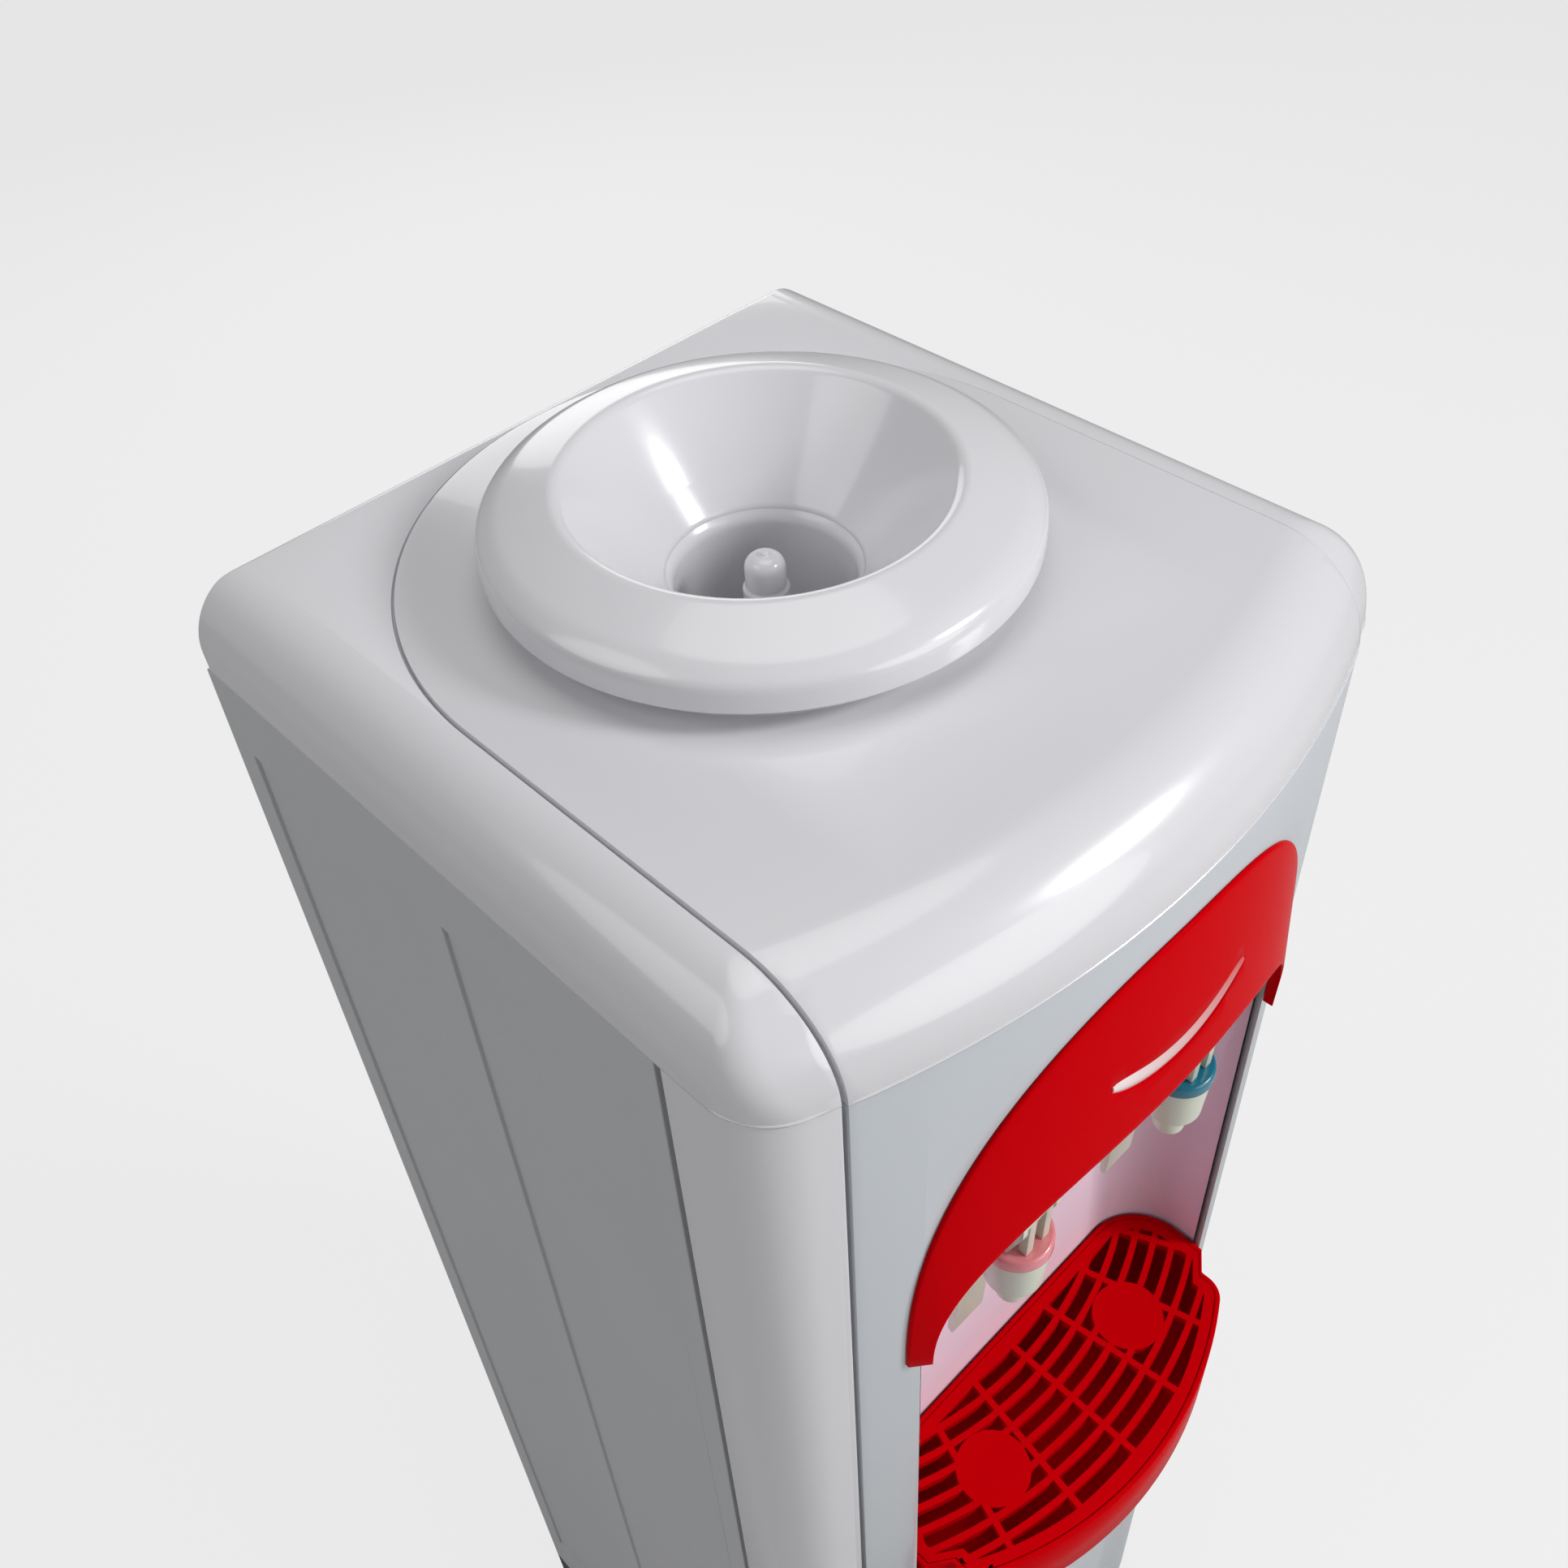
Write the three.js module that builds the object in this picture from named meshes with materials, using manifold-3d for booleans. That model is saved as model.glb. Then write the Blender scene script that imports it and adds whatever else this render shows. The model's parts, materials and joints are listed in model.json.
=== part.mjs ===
// A floor-standing hot and cold water dispenser that takes an upturned bottle.
// Millimetres, +Z up, the front faces -Y, the origin is on the floor under the middle of the object.
import * as THREE from "three";
import { mergeVertices } from "three/addons/utils/BufferGeometryUtils.js";
import Module from "manifold-3d";

const wasm = await Module();
wasm.setup();

// Fits and counts shared by every piece
const gap = 0.3; // air between neighbouring pieces
const overrun = 400; // how far a cut runs past a piece
const weld = 0.0003; // vertices nearer than this are one
const sliver = 0.005; // triangles lower than this are joined to their neighbours
const roundSteps = 28; // facets of a large round piece
const smallSteps = 12; // facets of a small round piece
const tapSteps = 24; // facets of a tap's body and ring
const hubSteps = 20; // facets of hubs and flanges
const nozzleSteps = 16;
const nutSides = 6;
const cornerSteps = 5; // chords of a corner seen from above
const bowSteps = 14; // chords of the front bow
const bandSteps = 16; // chords of a band that follows the bow
const archSteps = 24; // chords round the back of the raised middle

// Cabinet
const body = {
  width: 310,
  depth: 316, // rear face to the bow of the front columns
  bowRadius: 385, // the front is a shallow bow seen from above
  cornerRadius: 26,
  cornerTopRadius: 6,
  raise: 2, // the middle of the top and front stands proud
  shoulder: 27, // plain strip at each side of the raised middle
  grooveWidth: 2.6,
  grooveDepth: 1.6,
  top: 940,
  seamDrop: 35, // from the top down to the seam under the cover
};
const cover = { wall: 3.2, sideRound: 26, frontRound: 35, rearRound: 4, steps: 8 };
const feet = { radius: 17, height: 12, inset: 40, frontInset: 52, studRadius: 4, stud: 9 };
const pan = { height: 30, wall: 3, floor: 3, ribWidth: 8, ribX: 80, ribRise: 4, bossHalf: 8 };
const panel = { sheet: 1.2, frontFlange: 12, rearFlange: 14, jointGap: 3 };
const stamp = {
  depth: 1.5,
  topDrop: 70, // below the middle of the top
  bottomRise: 50, // above the base pan
  frontMargin: 11.6, // behind the panel's front edge
  between: 19,
  rearMargin: 14.4,
  corner: 12,
  steps: 4,
};
const column = { wall: 3, depth: 68, returnDepth: 11, rearReturn: 14, tongue: 3 };
const vents = { rows: 9, columnX: 42, length: 64, width: 4, pitch: 11 };

// Bottle seat, heights above the middle of the top
const seat = {
  setbackShare: 0.4222, // of the depth, from the rear face to the bottle's axis
  wall: 3,
  neckRadius: 32.7,
  wellDrop: 62,
  skirtRadius: 82,
  skirtWall: 2.5,
  skirtDrop: 7,
  underRise: 17.7,
  rimRadius: 97.5,
  rimBottom: 9,
};
const seatFace = [
  [97.5, 18], [96.2, 20.6], [93.6, 22.6], [90, 24], [75, 30], [71, 31], [67.5, 30.4],
  [65.3, 28.3], [32.7, -12],
];
const seatBack = [[35.7, -13], [67.8, 26.5], [71, 28], [75, 27], [79.5, 24.6]];
const collar = { inner: 84.6, outer: 88 };
const probe = {
  baseRadius: 15, base: 3, radius: 8.5, topDrop: 3, dome: 5, spigotRadius: 5.5, spigot: 8,
  bore: 3.6, window: 5, windowLow: 8, windowHigh: 26,
};
const probeStep = { drop: 18, in: 0.5 };
const gasket = { flange: 6, flangeHeight: 2.4, depth: 10 };

// Niche, fascia, tray and grille
const front = { wall: 2.8, bottom: 474, returnDepth: 28, flangeBehind: 12, sideWall: 2.4 };
const niche = {
  side: 23, depthShare: 0.1823, corner: 30, wall: 2.5, ceilingDrop: 104, floorDrop: 445,
  archRise: 96,
};
const fascia = {
  side: 17, // upper edge, inside the edge of the raised middle
  rise: 153, // upper edge, rise over the tips
  lowerSide: 24,
  lowerRise: 71,
  centreDrop: 205, // the tips, below the middle of the top
  topProud: 1.6,
  lipProud: 8.5,
  wall: 2.4,
};
const fasciaShape = { power: 3, upperPower: 2.4, lowerPower: 2.5, stations: 24, rows: 3, tipShare: 0.5 };
const slot = { half: 37, drop: 109, sag: 9, height: 6, steps: 8 };
const lens = { thick: 1.5, overlap: 2.5 };
const tray = {
  reach: 32, // past the bow of the middle
  rimDrop: 404, // grille top below the middle of the top
  wall: 2.4,
  sidePlay: 2,
  noseStep: 10,
  rearCorner: 28,
  noseRadius: 180,
  noseCorner: 12,
  play: 1.4,
  stepDepth: 45.6, // niche wall to the step in the sides
  stepRun: 7,
};
const grille = {
  depth: 5, rim: 5, bar: 3, rearRadius: 181.5, bars: 9, crossTurn: 8.2, crosses: 4, boss: 17,
  steps: 9,
};

// Taps
const tap = {
  spacing: 50, // each side of the middle
  setback: 17.6, // tap axis behind the bow of the middle
  capDrop: 201, // top of the body below the middle of the top
  radius: 13,
  height: 22,
  nozzleRadius: 6.4,
  nozzleBore: 4,
  nozzle: 14,
  chamberRadius: 9.6,
  floor: 4,
  pipeDrop: 11,
  pipeRadius: 7,
  pipeBore: 2.6,
  flangeRadius: 12.5,
  flange: 2.5,
};
const stub = { radius: 4.2, length: 14, overlap: 8, rootShare: 0.7 }; // what every hose is pushed over
const hose = { wall: 1.6, steps: 16, sides: 6, leadShare: 1.5 };
const feedRoute = { out: 33, bend: 42, drop: 84, rise: 28 }; // the feed hose's way round the hot tank
const hotRoute = { back: 28, sag: 14 };
const cap = { radius: 13.8, height: 6.7, roof: 3, bore: 4.2 };
const plunger = { stem: 3.4, seal: 7.4, sealHeight: 4, rise: 9 };
const spring = { radius: 6, wire: 0.7, curls: 5, curlSteps: 8, sides: 5 };
const lever = {
  halfWidth: 10.4, cheek: 2.6, plate: 2.6, rise: 24, paddleHalf: 9, pinRise: 5.5, pinRadius: 1.3,
  pinEnd: 0.6, toothNear: 2.7, toothFar: 6.3,
};
const cheekOutline = [[-10, 24], [-10, 18], [-3.6, 1.2], [15.6, 1.2], [15.6, -36], [21.6, -36], [21.6, 24]];
const toothOutline = [[-10, 24], [-9.2, 0.3], [-5.2, 0.3], [-7.6, 14], [-7.6, 24]];
const paddleOutline = [
  [15.6, -32], [17.5, -60], [19.5, -94], [21, -96], [22.5, -94], [21.6, -60], [21.6, -32],
];
const pinSlot = [[-1.8, -2.7], [4.2, -2.7], [4.2, 1.8], [-1.8, 1.8]];
const nut = { radius: 12, thick: 6 };

// Tanks and cooling
const tank = {
  radiusShare: 0.1962, wall: 1.5, topDrop: 48, bottomDrop: 236, mouth: 38.2, shoulder: 16,
  neck: 10, outletRise: 12, outletX: 40, feedX: 45,
};
const foam = { wall: 14, floor: 12, rimDrop: 14 };
const baffle = {
  edge: 5, thick: 2, drop: 124, tube: 9, tubeWall: 2, holeRadius: 4, holeRingShare: 0.7, holes: 6,
  notch: 8,
};
const cooler = { z: 770, half: 20, blockLength: 14.5, thick: 3.8, rootShare: 0.8 };
const sink = { half: 46, base: 5, fin: 1.6, fins: 9, rearRoom: 5.5 };
const fan = {
  half: 46, depth: 20, bore: 43.4, spiderDepth: 3, strut: 6, hub: 17, hubDepth: 13,
  hubSkin: 2.5, blade: 41.5, bladeWidth: 12, bladeThick: 1.6, blades: 7, bladeTurn: 0.6,
  post: 3.2,
};
const hot = {
  radius: 48, height: 142, wall: 1.4, shoulder: 8, axisX: -12, axisSetback: 140, feedRise: 20,
  outletX: -20, outletY: -28, drainRise: 14, drainRadius: 6, drainBore: 3.6, root: 4.2,
};
const band = { wall: 2, height: 34, rise: 44 };
const jacket = { wall: 9, floor: 9, play: 0.5 };
const plug = { radius: 9, head: 6, shank: 9 };

// Shelves, lower cabinet and electrics
const shelf = { sheet: 1.2, flange: 18, lower: 476, lowerFront: 86, upperFront: 118 };
const box = { side: 7, wall: 2.5, frontSetback: 42, rearRoom: 51.3 };
const door = {
  wall: 2.6, depth: 50, bottom: 45.5, top: 470.5, flange: 13, sideGap: 0.3, hingeInset: 9.4,
  hingeSetback: 9, bossRadius: 5.6, bossDepth: 11,
};
const grip = { inset: 58, half: 32, height: 20, depth: 9, drop: 28 };
const pin = { radius: 2.4, headRadius: 4.6, head: 2, engage: 9, sink: 12 };
const supply = { half: 34, depth: 74, height: 34, inset: 49, setback: 44 };
const plate = { inset: 77, half: 50, height: 40, z: 566, frame: 4, depth: 12, bezel: 1.2 };
const rocker = { half: 6.5, height: 20, depth: 8, crown: 2, firstX: 12, pitch: 21 };
const inlet = {
  x: -24, half: 14, height: 21, depth: 16, wall: 2, pinHalf: 1, pinHeight: 4, pinSpread: 7,
  pinLength: 11,
};

// Places worked out from the sizes
const rearReach = plug.head; // only the drain plug and the rockers stand behind the rear face
const rearY = (tray.reach + body.raise + body.depth + rearReach) / 2 - rearReach;
const bowY = rearY - body.depth;
const bowCentreY = bowY + body.bowRadius;
const middleY = bowY - body.raise;
const seatY = rearY - body.depth * seat.setbackShare;
const wallX = body.width / 2;
const halfMiddle = wallX - body.shoulder;
const grooveX = halfMiddle + body.grooveWidth;
const shoulderZ = body.top - body.raise;
const seamZ = body.top - body.seamDrop;
const panTop = feet.height + pan.height;
const columnRearY = middleY + column.depth;
const nicheY = middleY + body.depth * niche.depthShare;
const nicheHalf = halfMiddle - niche.side;
const fasciaHalf = halfMiddle - fascia.side;
const trayHalf = nicheHalf - tray.sidePlay;
const nicheFloorZ = body.top - niche.floorDrop;
const sillZ = nicheFloorZ + niche.wall;
const grilleZ = body.top - tray.rimDrop;
const fasciaZ = body.top - fascia.centreDrop;
const tapY = middleY + tap.setback;
const tapTop = body.top - tap.capDrop;
const tapLow = tapTop - tap.height;
const capTop = tapTop + gap + cap.height;
const pipeZ = tapTop - tap.pipeDrop;
const pipeEndY = nicheY + niche.wall + gap + nut.thick + gap;
const tankLow = body.top - tank.bottomDrop;
const tankRadius = body.depth * tank.radiusShare;
const baffleRadius = tankRadius - baffle.edge;
const tankTop = body.top - tank.topDrop;
const foamRadius = tankRadius + gap + foam.wall;
const foamLow = tankLow - gap - foam.floor;
const upperShelfZ = foamLow - gap - shelf.sheet;
const lowerShelfTop = shelf.lower + shelf.sheet;
const backFaceY = rearY - panel.sheet - gap;
const backInnerY = backFaceY - panel.sheet;
const boxHalf = halfMiddle - box.side;
const boxNearY = middleY + box.frontSetback;
const boxFarY = backInnerY - box.rearRoom;
const hotY = rearY - hot.axisSetback;
const hotLow = lowerShelfTop + gap + jacket.floor + gap;
const hotTop = hotLow + hot.height;
const gripX = halfMiddle - grip.inset;
const supplyX = wallX - supply.inset;
const plateX = plate.inset - wallX;
const hoseBore = stub.radius + gap;
const hoseOuter = (hoseBore + hose.wall) / Math.cos(Math.PI / hose.sides);
const hingeX = halfMiddle - door.hingeInset;
const hingeY = bowAt(hingeX, body.raise) + door.hingeSetback;

// Solids: three.js makes the shapes, manifold-3d joins and cuts them

function solid(geometry) {
  const bare = geometry.clone();
  for (const name of ["normal", "uv"]) bare.deleteAttribute(name);
  const merged = mergeVertices(bare, weld);
  const corners = merged.index.array;
  const kept = [];
  for (let i = 0; i < corners.length; i += 3) {
    const [a, b, c] = [corners[i], corners[i + 1], corners[i + 2]];
    if (a !== b && b !== c && c !== a) kept.push(a, b, c);
  }
  const build = () => {
    const vertProperties = new Float32Array(merged.attributes.position.array);
    return new wasm.Manifold(new wasm.Mesh({
      numProp: 3,
      vertProperties,
      triVerts: new Uint32Array(kept),
    }));
  };
  const made = build();
  if (made.volume() > 0) return made;
  for (let i = 0; i < kept.length; i += 3) [kept[i], kept[i + 1]] = [kept[i + 1], kept[i]];
  return build();
}

function geometryOf(made) {
  const mesh = made.asOriginal().simplify(sliver).getMesh();
  const geometry = new THREE.BufferGeometry();
  geometry.setAttribute(
    "position",
    new THREE.BufferAttribute(new Float32Array(mesh.vertProperties), mesh.numProp),
  );
  geometry.setIndex(new THREE.BufferAttribute(new Uint32Array(mesh.triVerts), 1));
  const loose = geometry.toNonIndexed();
  loose.computeVertexNormals();
  return loose;
}

const joined = (...pieces) => pieces.reduce((sum, piece) => sum.add(piece));
const cutBy = (piece, ...cutters) => cutters.reduce((left, cutter) => left.subtract(cutter), piece);
const mirrored = (piece) => solid(geometryOf(piece).scale(-1, 1, 1));

// A block between two corners.
function block(low, high) {
  const size = high.map((value, axis) => value - low[axis]);
  const middle = high.map((value, axis) => (value + low[axis]) / 2);
  return solid(new THREE.BoxGeometry(...size).translate(...middle));
}

// A round bar along an axis between two values of it; the centre is given on the other two axes.
function bar(axis, radius, from, to, centre, steps = smallSteps) {
  const made = new THREE.CylinderGeometry(radius, radius, to - from, steps);
  made.translate(0, (from + to) / 2, 0);
  if (axis === "z") made.rotateX(Math.PI / 2).translate(centre[0], centre[1], 0);
  if (axis === "y") made.translate(centre[0], 0, centre[1]);
  if (axis === "x") made.rotateZ(-Math.PI / 2).translate(0, centre[0], centre[1]);
  return solid(made);
}

// A solid turned about a vertical line from its half section, pairs of radius and height.
function turned(section, centre, steps = roundSteps) {
  const points = [...section, section[0]].map(([radius, height]) => new THREE.Vector2(radius, height));
  const made = new THREE.LatheGeometry(points, steps).rotateX(Math.PI / 2);
  return solid(made.translate(centre[0], centre[1], 0));
}

const ring = (inner, outer, low, high, centre, steps) =>
  turned([[inner, low], [outer, low], [outer, high], [inner, high]], centre, steps);

// An outline carried along an axis; its points are given on the other two axes in order.
function slab(axis, points, low, high) {
  const shape = new THREE.Shape(points.map(([a, b]) => new THREE.Vector2(a, b)));
  const made = new THREE.ExtrudeGeometry(
    shape,
    { depth: high - low, bevelEnabled: false },
  ).translate(0, 0, low);
  const turn = new THREE.Matrix4();
  if (axis === "x") turn.set(0, 0, 1, 0, 1, 0, 0, 0, 0, 1, 0, 0, 0, 0, 0, 1);
  if (axis === "y") turn.set(1, 0, 0, 0, 0, 0, 1, 0, 0, 1, 0, 0, 0, 0, 0, 1);
  return solid(made.applyMatrix4(turn));
}

// Points of an arc between two angles.
function arc(centre, radius, from, to, steps) {
  const points = [];
  for (let i = 0; i <= steps; i++) {
    const angle = from + ((to - from) * i) / steps;
    points.push([centre[0] + radius * Math.cos(angle), centre[1] + radius * Math.sin(angle)]);
  }
  return points;
}

// Two grids of points, one in front of the other, closed into a solid.
function between(near, far) {
  const rows = near.length;
  const across = near[0].length;
  const positions = [...near.flat(), ...far.flat()].flat();
  const at = (side, i, j) => side * rows * across + i * across + j;
  const faces = [];
  const quad = (a, b, c, d) => faces.push(a, b, c, a, c, d);
  for (let i = 0; i < rows - 1; i++)
    for (let j = 0; j < across - 1; j++) {
      quad(at(0, i, j), at(0, i + 1, j), at(0, i + 1, j + 1), at(0, i, j + 1));
      quad(at(1, i, j), at(1, i, j + 1), at(1, i + 1, j + 1), at(1, i + 1, j));
    }
  for (let i = 0; i < rows - 1; i++) {
    quad(at(0, i, 0), at(1, i, 0), at(1, i + 1, 0), at(0, i + 1, 0));
    quad(at(0, i, across - 1), at(0, i + 1, across - 1), at(1, i + 1, across - 1), at(1, i, across - 1));
  }
  for (let j = 0; j < across - 1; j++) {
    quad(at(0, 0, j), at(0, 0, j + 1), at(1, 0, j + 1), at(1, 0, j));
    quad(at(0, rows - 1, j), at(1, rows - 1, j), at(1, rows - 1, j + 1), at(0, rows - 1, j + 1));
  }
  const geometry = new THREE.BufferGeometry();
  geometry.setAttribute("position", new THREE.Float32BufferAttribute(positions, 3));
  geometry.setIndex(faces);
  return solid(geometry.toNonIndexed());
}

// A solid through level rings of points, each a height and an outline.
function loft(levels) {
  const count = levels[0].points.length;
  const positions = levels.flatMap(({ z, points }) => points.flatMap(([x, y]) => [x, y, z]));
  const faces = [];
  for (let i = 0; i < levels.length - 1; i++)
    for (let j = 0; j < count; j++) {
      const next = (j + 1) % count;
      faces.push(i * count + j, i * count + next, (i + 1) * count + next);
      faces.push(i * count + j, (i + 1) * count + next, (i + 1) * count + j);
    }
  const lid = (level) =>
    THREE.ShapeUtils.triangulateShape(
      levels[level].points.map(([x, y]) => new THREE.Vector2(x, y)),
      [],
    ).map((face) =>
      face.map((corner) => corner + level * count),
    );
  for (const [a, b, c] of lid(0)) faces.push(c, b, a);
  for (const face of lid(levels.length - 1)) faces.push(...face);
  const geometry = new THREE.BufferGeometry();
  geometry.setAttribute("position", new THREE.Float32BufferAttribute(positions, 3));
  geometry.setIndex(faces);
  return solid(geometry.toNonIndexed());
}

// A round tube along a smooth line through points, with a bore if one is given.
function tube(points, radius, bore, steps = hose.steps, sides = hose.sides) {
  const shape = new THREE.Shape(arc(
    [0, 0],
    radius,
    0,
    2 * Math.PI * (1 - 1 / sides),
    sides - 1,
  ).map((p) => new THREE.Vector2(...p)));
  if (bore) {
    const inner = arc(
      [0, 0],
      bore / Math.cos(Math.PI / sides),
      0,
      2 * Math.PI * (1 - 1 / sides),
      sides - 1,
    );
    shape.holes.push(new THREE.Path(inner.reverse().map((p) => new THREE.Vector2(...p))));
  }
  const extrudePath = new THREE.CatmullRomCurve3(points.map((p) => new THREE.Vector3(...p)));
  return solid(new THREE.ExtrudeGeometry(shape, { steps, extrudePath, bevelEnabled: false }));
}

// Outlines

// The front bow's surface at a distance from the middle, standing proud by so much.
function bowAt(x, proud) {
  return bowCentreY - Math.sqrt((body.bowRadius + proud) ** 2 - x ** 2);
}

// A bowed front with rounded corners, from the left side round to the right side.
function bowedFront(half, radius, centreY, corner, cornerSteps, bowSteps) {
  const cornerX = half - corner;
  const cornerY = centreY - Math.sqrt((radius - corner) ** 2 - cornerX ** 2);
  const swing = Math.asin(cornerX / (radius - corner));
  const down = 1.5 * Math.PI;
  return [
    ...arc([-cornerX, cornerY], corner, Math.PI, down - swing, cornerSteps),
    ...arc([0, centreY], radius, down - swing, down + swing, bowSteps).slice(1, -1),
    ...arc([cornerX, cornerY], corner, down + swing, 2 * Math.PI, cornerSteps),
  ];
}

// The cabinet seen from above, drawn in at its sides, front and rear.
function planOutline({ side = 0, front: inFront = 0, rear = 0, corner = body.cornerRadius }) {
  const half = wallX - side;
  const bow = bowedFront(half, body.bowRadius - inFront, bowCentreY, corner, cornerSteps, bowSteps);
  return [[half, rearY - rear], [-half, rearY - rear], ...bow];
}

// A band that follows the front bow.
function bowBand(half, outer, inner) {
  const points = (radius, sense) => {
    const swing = Math.asin(half / radius) * sense;
    return arc([0, bowCentreY], radius, 1.5 * Math.PI - swing, 1.5 * Math.PI + swing, bandSteps);
  };
  return [...points(body.bowRadius + outer, 1), ...points(body.bowRadius + inner, -1)];
}

// The middle of the top: straight sides and a round back about the bottle's axis.
const tombstone = (half) => [
  [-half, -overrun],
  [half, -overrun],
  ...arc([0, seatY], half, 0, Math.PI, archSteps),
];

// A point of the arch over the niche, seen from the front; the angle runs from tip to tip.
function archPoint(half, rise, angle, power = fasciaShape.power) {
  const x = half * Math.cos(angle);
  const share = 1 - Math.abs(Math.cos(angle)) ** power;
  return [x, fasciaZ + rise * Math.max(share, 0) ** (1 / power)];
}

const nicheOutline = (grow) => [
  [-nicheHalf - grow, -overrun],
  [nicheHalf + grow, -overrun],
  ...arc(
    [nicheHalf - niche.corner, nicheY - niche.corner],
    niche.corner + grow,
    0,
    Math.PI / 2,
    cornerSteps,
  ),
  ...arc(
    [niche.corner - nicheHalf, nicheY - niche.corner],
    niche.corner + grow,
    Math.PI / 2,
    Math.PI,
    cornerSteps,
  ),
];

function trayOutline(inset) {
  const cornerX = trayHalf - tray.rearCorner;
  const cornerY = nicheY - tray.play - tray.rearCorner;
  const stepY = nicheY - tray.stepDepth;
  const noseCentreY = middleY - tray.reach + tray.noseRadius;
  const nose = (trayHalf - tray.noseStep) - inset;
  return [
    ...arc([cornerX, cornerY], tray.rearCorner - inset, 0, Math.PI / 2, cornerSteps),
    ...arc([-cornerX, cornerY], tray.rearCorner - inset, Math.PI / 2, Math.PI, cornerSteps),
    [inset - trayHalf, stepY],
    [-nose, stepY - tray.stepRun],
    ...bowedFront(
      nose, tray.noseRadius - inset, noseCentreY, tray.noseCorner - inset, cornerSteps,
      bowSteps,
    ),
    [nose, stepY - tray.stepRun],
    [trayHalf - inset, stepY],
  ];
}

// The smile-shaped slot in the fascia.
function smile(grow) {
  const half = slot.half + grow;
  const edge = (sense) => {
    const points = [];
    for (let i = 0; i <= slot.steps; i++) {
      const x = half * ((2 * i) / slot.steps - 1) * sense;
      points.push([
        x,
        body.top - slot.drop + slot.sag * (x / half) ** 2 - (slot.height / 2 + grow) * sense,
      ]);
    }
    return points;
  };
  return [...edge(1), ...edge(-1)];
}

// Cabinet pieces

function footPiece(x, y) {
  const pad = bar("z", feet.radius, 0, feet.height - gap, [x, y], roundSteps);
  return joined(pad, bar("z", feet.studRadius, feet.height / 2, feet.height + feet.stud, [x, y]));
}

const footX = wallX - feet.inset;
const footSpots = { front: middleY + feet.frontInset, rear: rearY - feet.inset };

function basePan() {
  const inner = planOutline({
    side: pan.wall,
    front: pan.wall,
    rear: pan.wall,
    corner: body.cornerRadius - pan.wall,
  });
  let made = slab("z", planOutline({}), feet.height, panTop);
  made = cutBy(made, slab("z", inner, feet.height + pan.floor, panTop + overrun));
  for (const side of [-1, 1]) {
    const x = side * pan.ribX;
    const rib = [
      [x - pan.ribWidth / 2, boxNearY, feet.height + pan.floor / 2],
      [x + pan.ribWidth / 2, boxFarY, panTop + pan.ribRise - gap],
    ];
    made = made.add(block(...rib));
  }
  const boss = block(
    [-hingeX - pan.bossHalf, hingeY - pan.bossHalf, feet.height + pan.floor / 2],
    [-hingeX + pan.bossHalf, hingeY + pan.bossHalf, panTop],
  );
  made = made.add(boss.intersect(slab("z", planOutline({}), feet.height, panTop)));
  made = cutBy(made, bar("z", pin.radius + gap, panTop - pin.sink, panTop + overrun, [-hingeX, hingeY]));
  for (const x of [-footX, footX])
    for (const y of Object.values(footSpots)) made = cutBy(
      made,
      bar("z", feet.studRadius + gap, 0, feet.height + pan.floor + gap, [x, y]),
    );
  return made;
}

function sidePanel() {
  const low = panTop + gap;
  const high = seamZ - gap;
  const frontY = columnRearY + panel.jointGap;
  let made = joined(
    block([-wallX, frontY, low], [panel.sheet - wallX, rearY, high]),
    block([-wallX, frontY, low], [panel.frontFlange - wallX, frontY + panel.sheet, high]),
    block([-wallX, rearY - panel.sheet, low], [panel.rearFlange - wallX, rearY, high]),
  );
  const length = (rearY - frontY - stamp.frontMargin - stamp.between - stamp.rearMargin) / 2;
  for (const near of [frontY + stamp.frontMargin, rearY - stamp.rearMargin - length]) {
    const field = (grow) => {
      const [y0, y1] = [near - grow, near + length + grow];
      const [z0, z1] = [panTop + stamp.bottomRise - grow, body.top - stamp.topDrop + grow];
      const corner = arc(
        [y0 + stamp.corner, z1 - stamp.corner],
        stamp.corner,
        Math.PI / 2,
        Math.PI,
        stamp.steps,
      );
      return [...corner, [y0, z0], [y1, z0], [y1, z1]];
    };
    const floor = stamp.depth - wallX;
    made = made.add(slab("x", field(panel.sheet), panel.sheet - wallX - gap, floor + panel.sheet));
    made = cutBy(made, slab("x", field(0), floor - overrun, floor));
  }
  return made;
}

function backPanel() {
  const half = wallX - panel.sheet - stamp.depth - gap;
  let made = block([-half, backInnerY, panTop + gap], [half, backFaceY, seamZ - gap]);
  for (let row = 0; row < vents.rows; row++)
    for (const x of [-vents.columnX, vents.columnX]) {
      const z = cooler.z + (row - (vents.rows - 1) / 2) * vents.pitch;
      made = cutBy(
        made,
        block(
          [x - vents.length / 2, backInnerY - overrun, z - vents.width / 2],
          [x + vents.length / 2, backInnerY + overrun, z + vents.width / 2],
        ),
      );
    }
  made = cutBy(made, plateBlock(gap, backInnerY - overrun, backFaceY + overrun));
  return cutBy(
    made,
    bar(
      "y",
      hot.drainRadius + gap,
      backInnerY - overrun,
      rearY + overrun,
      [hot.axisX, hotLow + hot.drainRise],
    ),
  );
}

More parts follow.
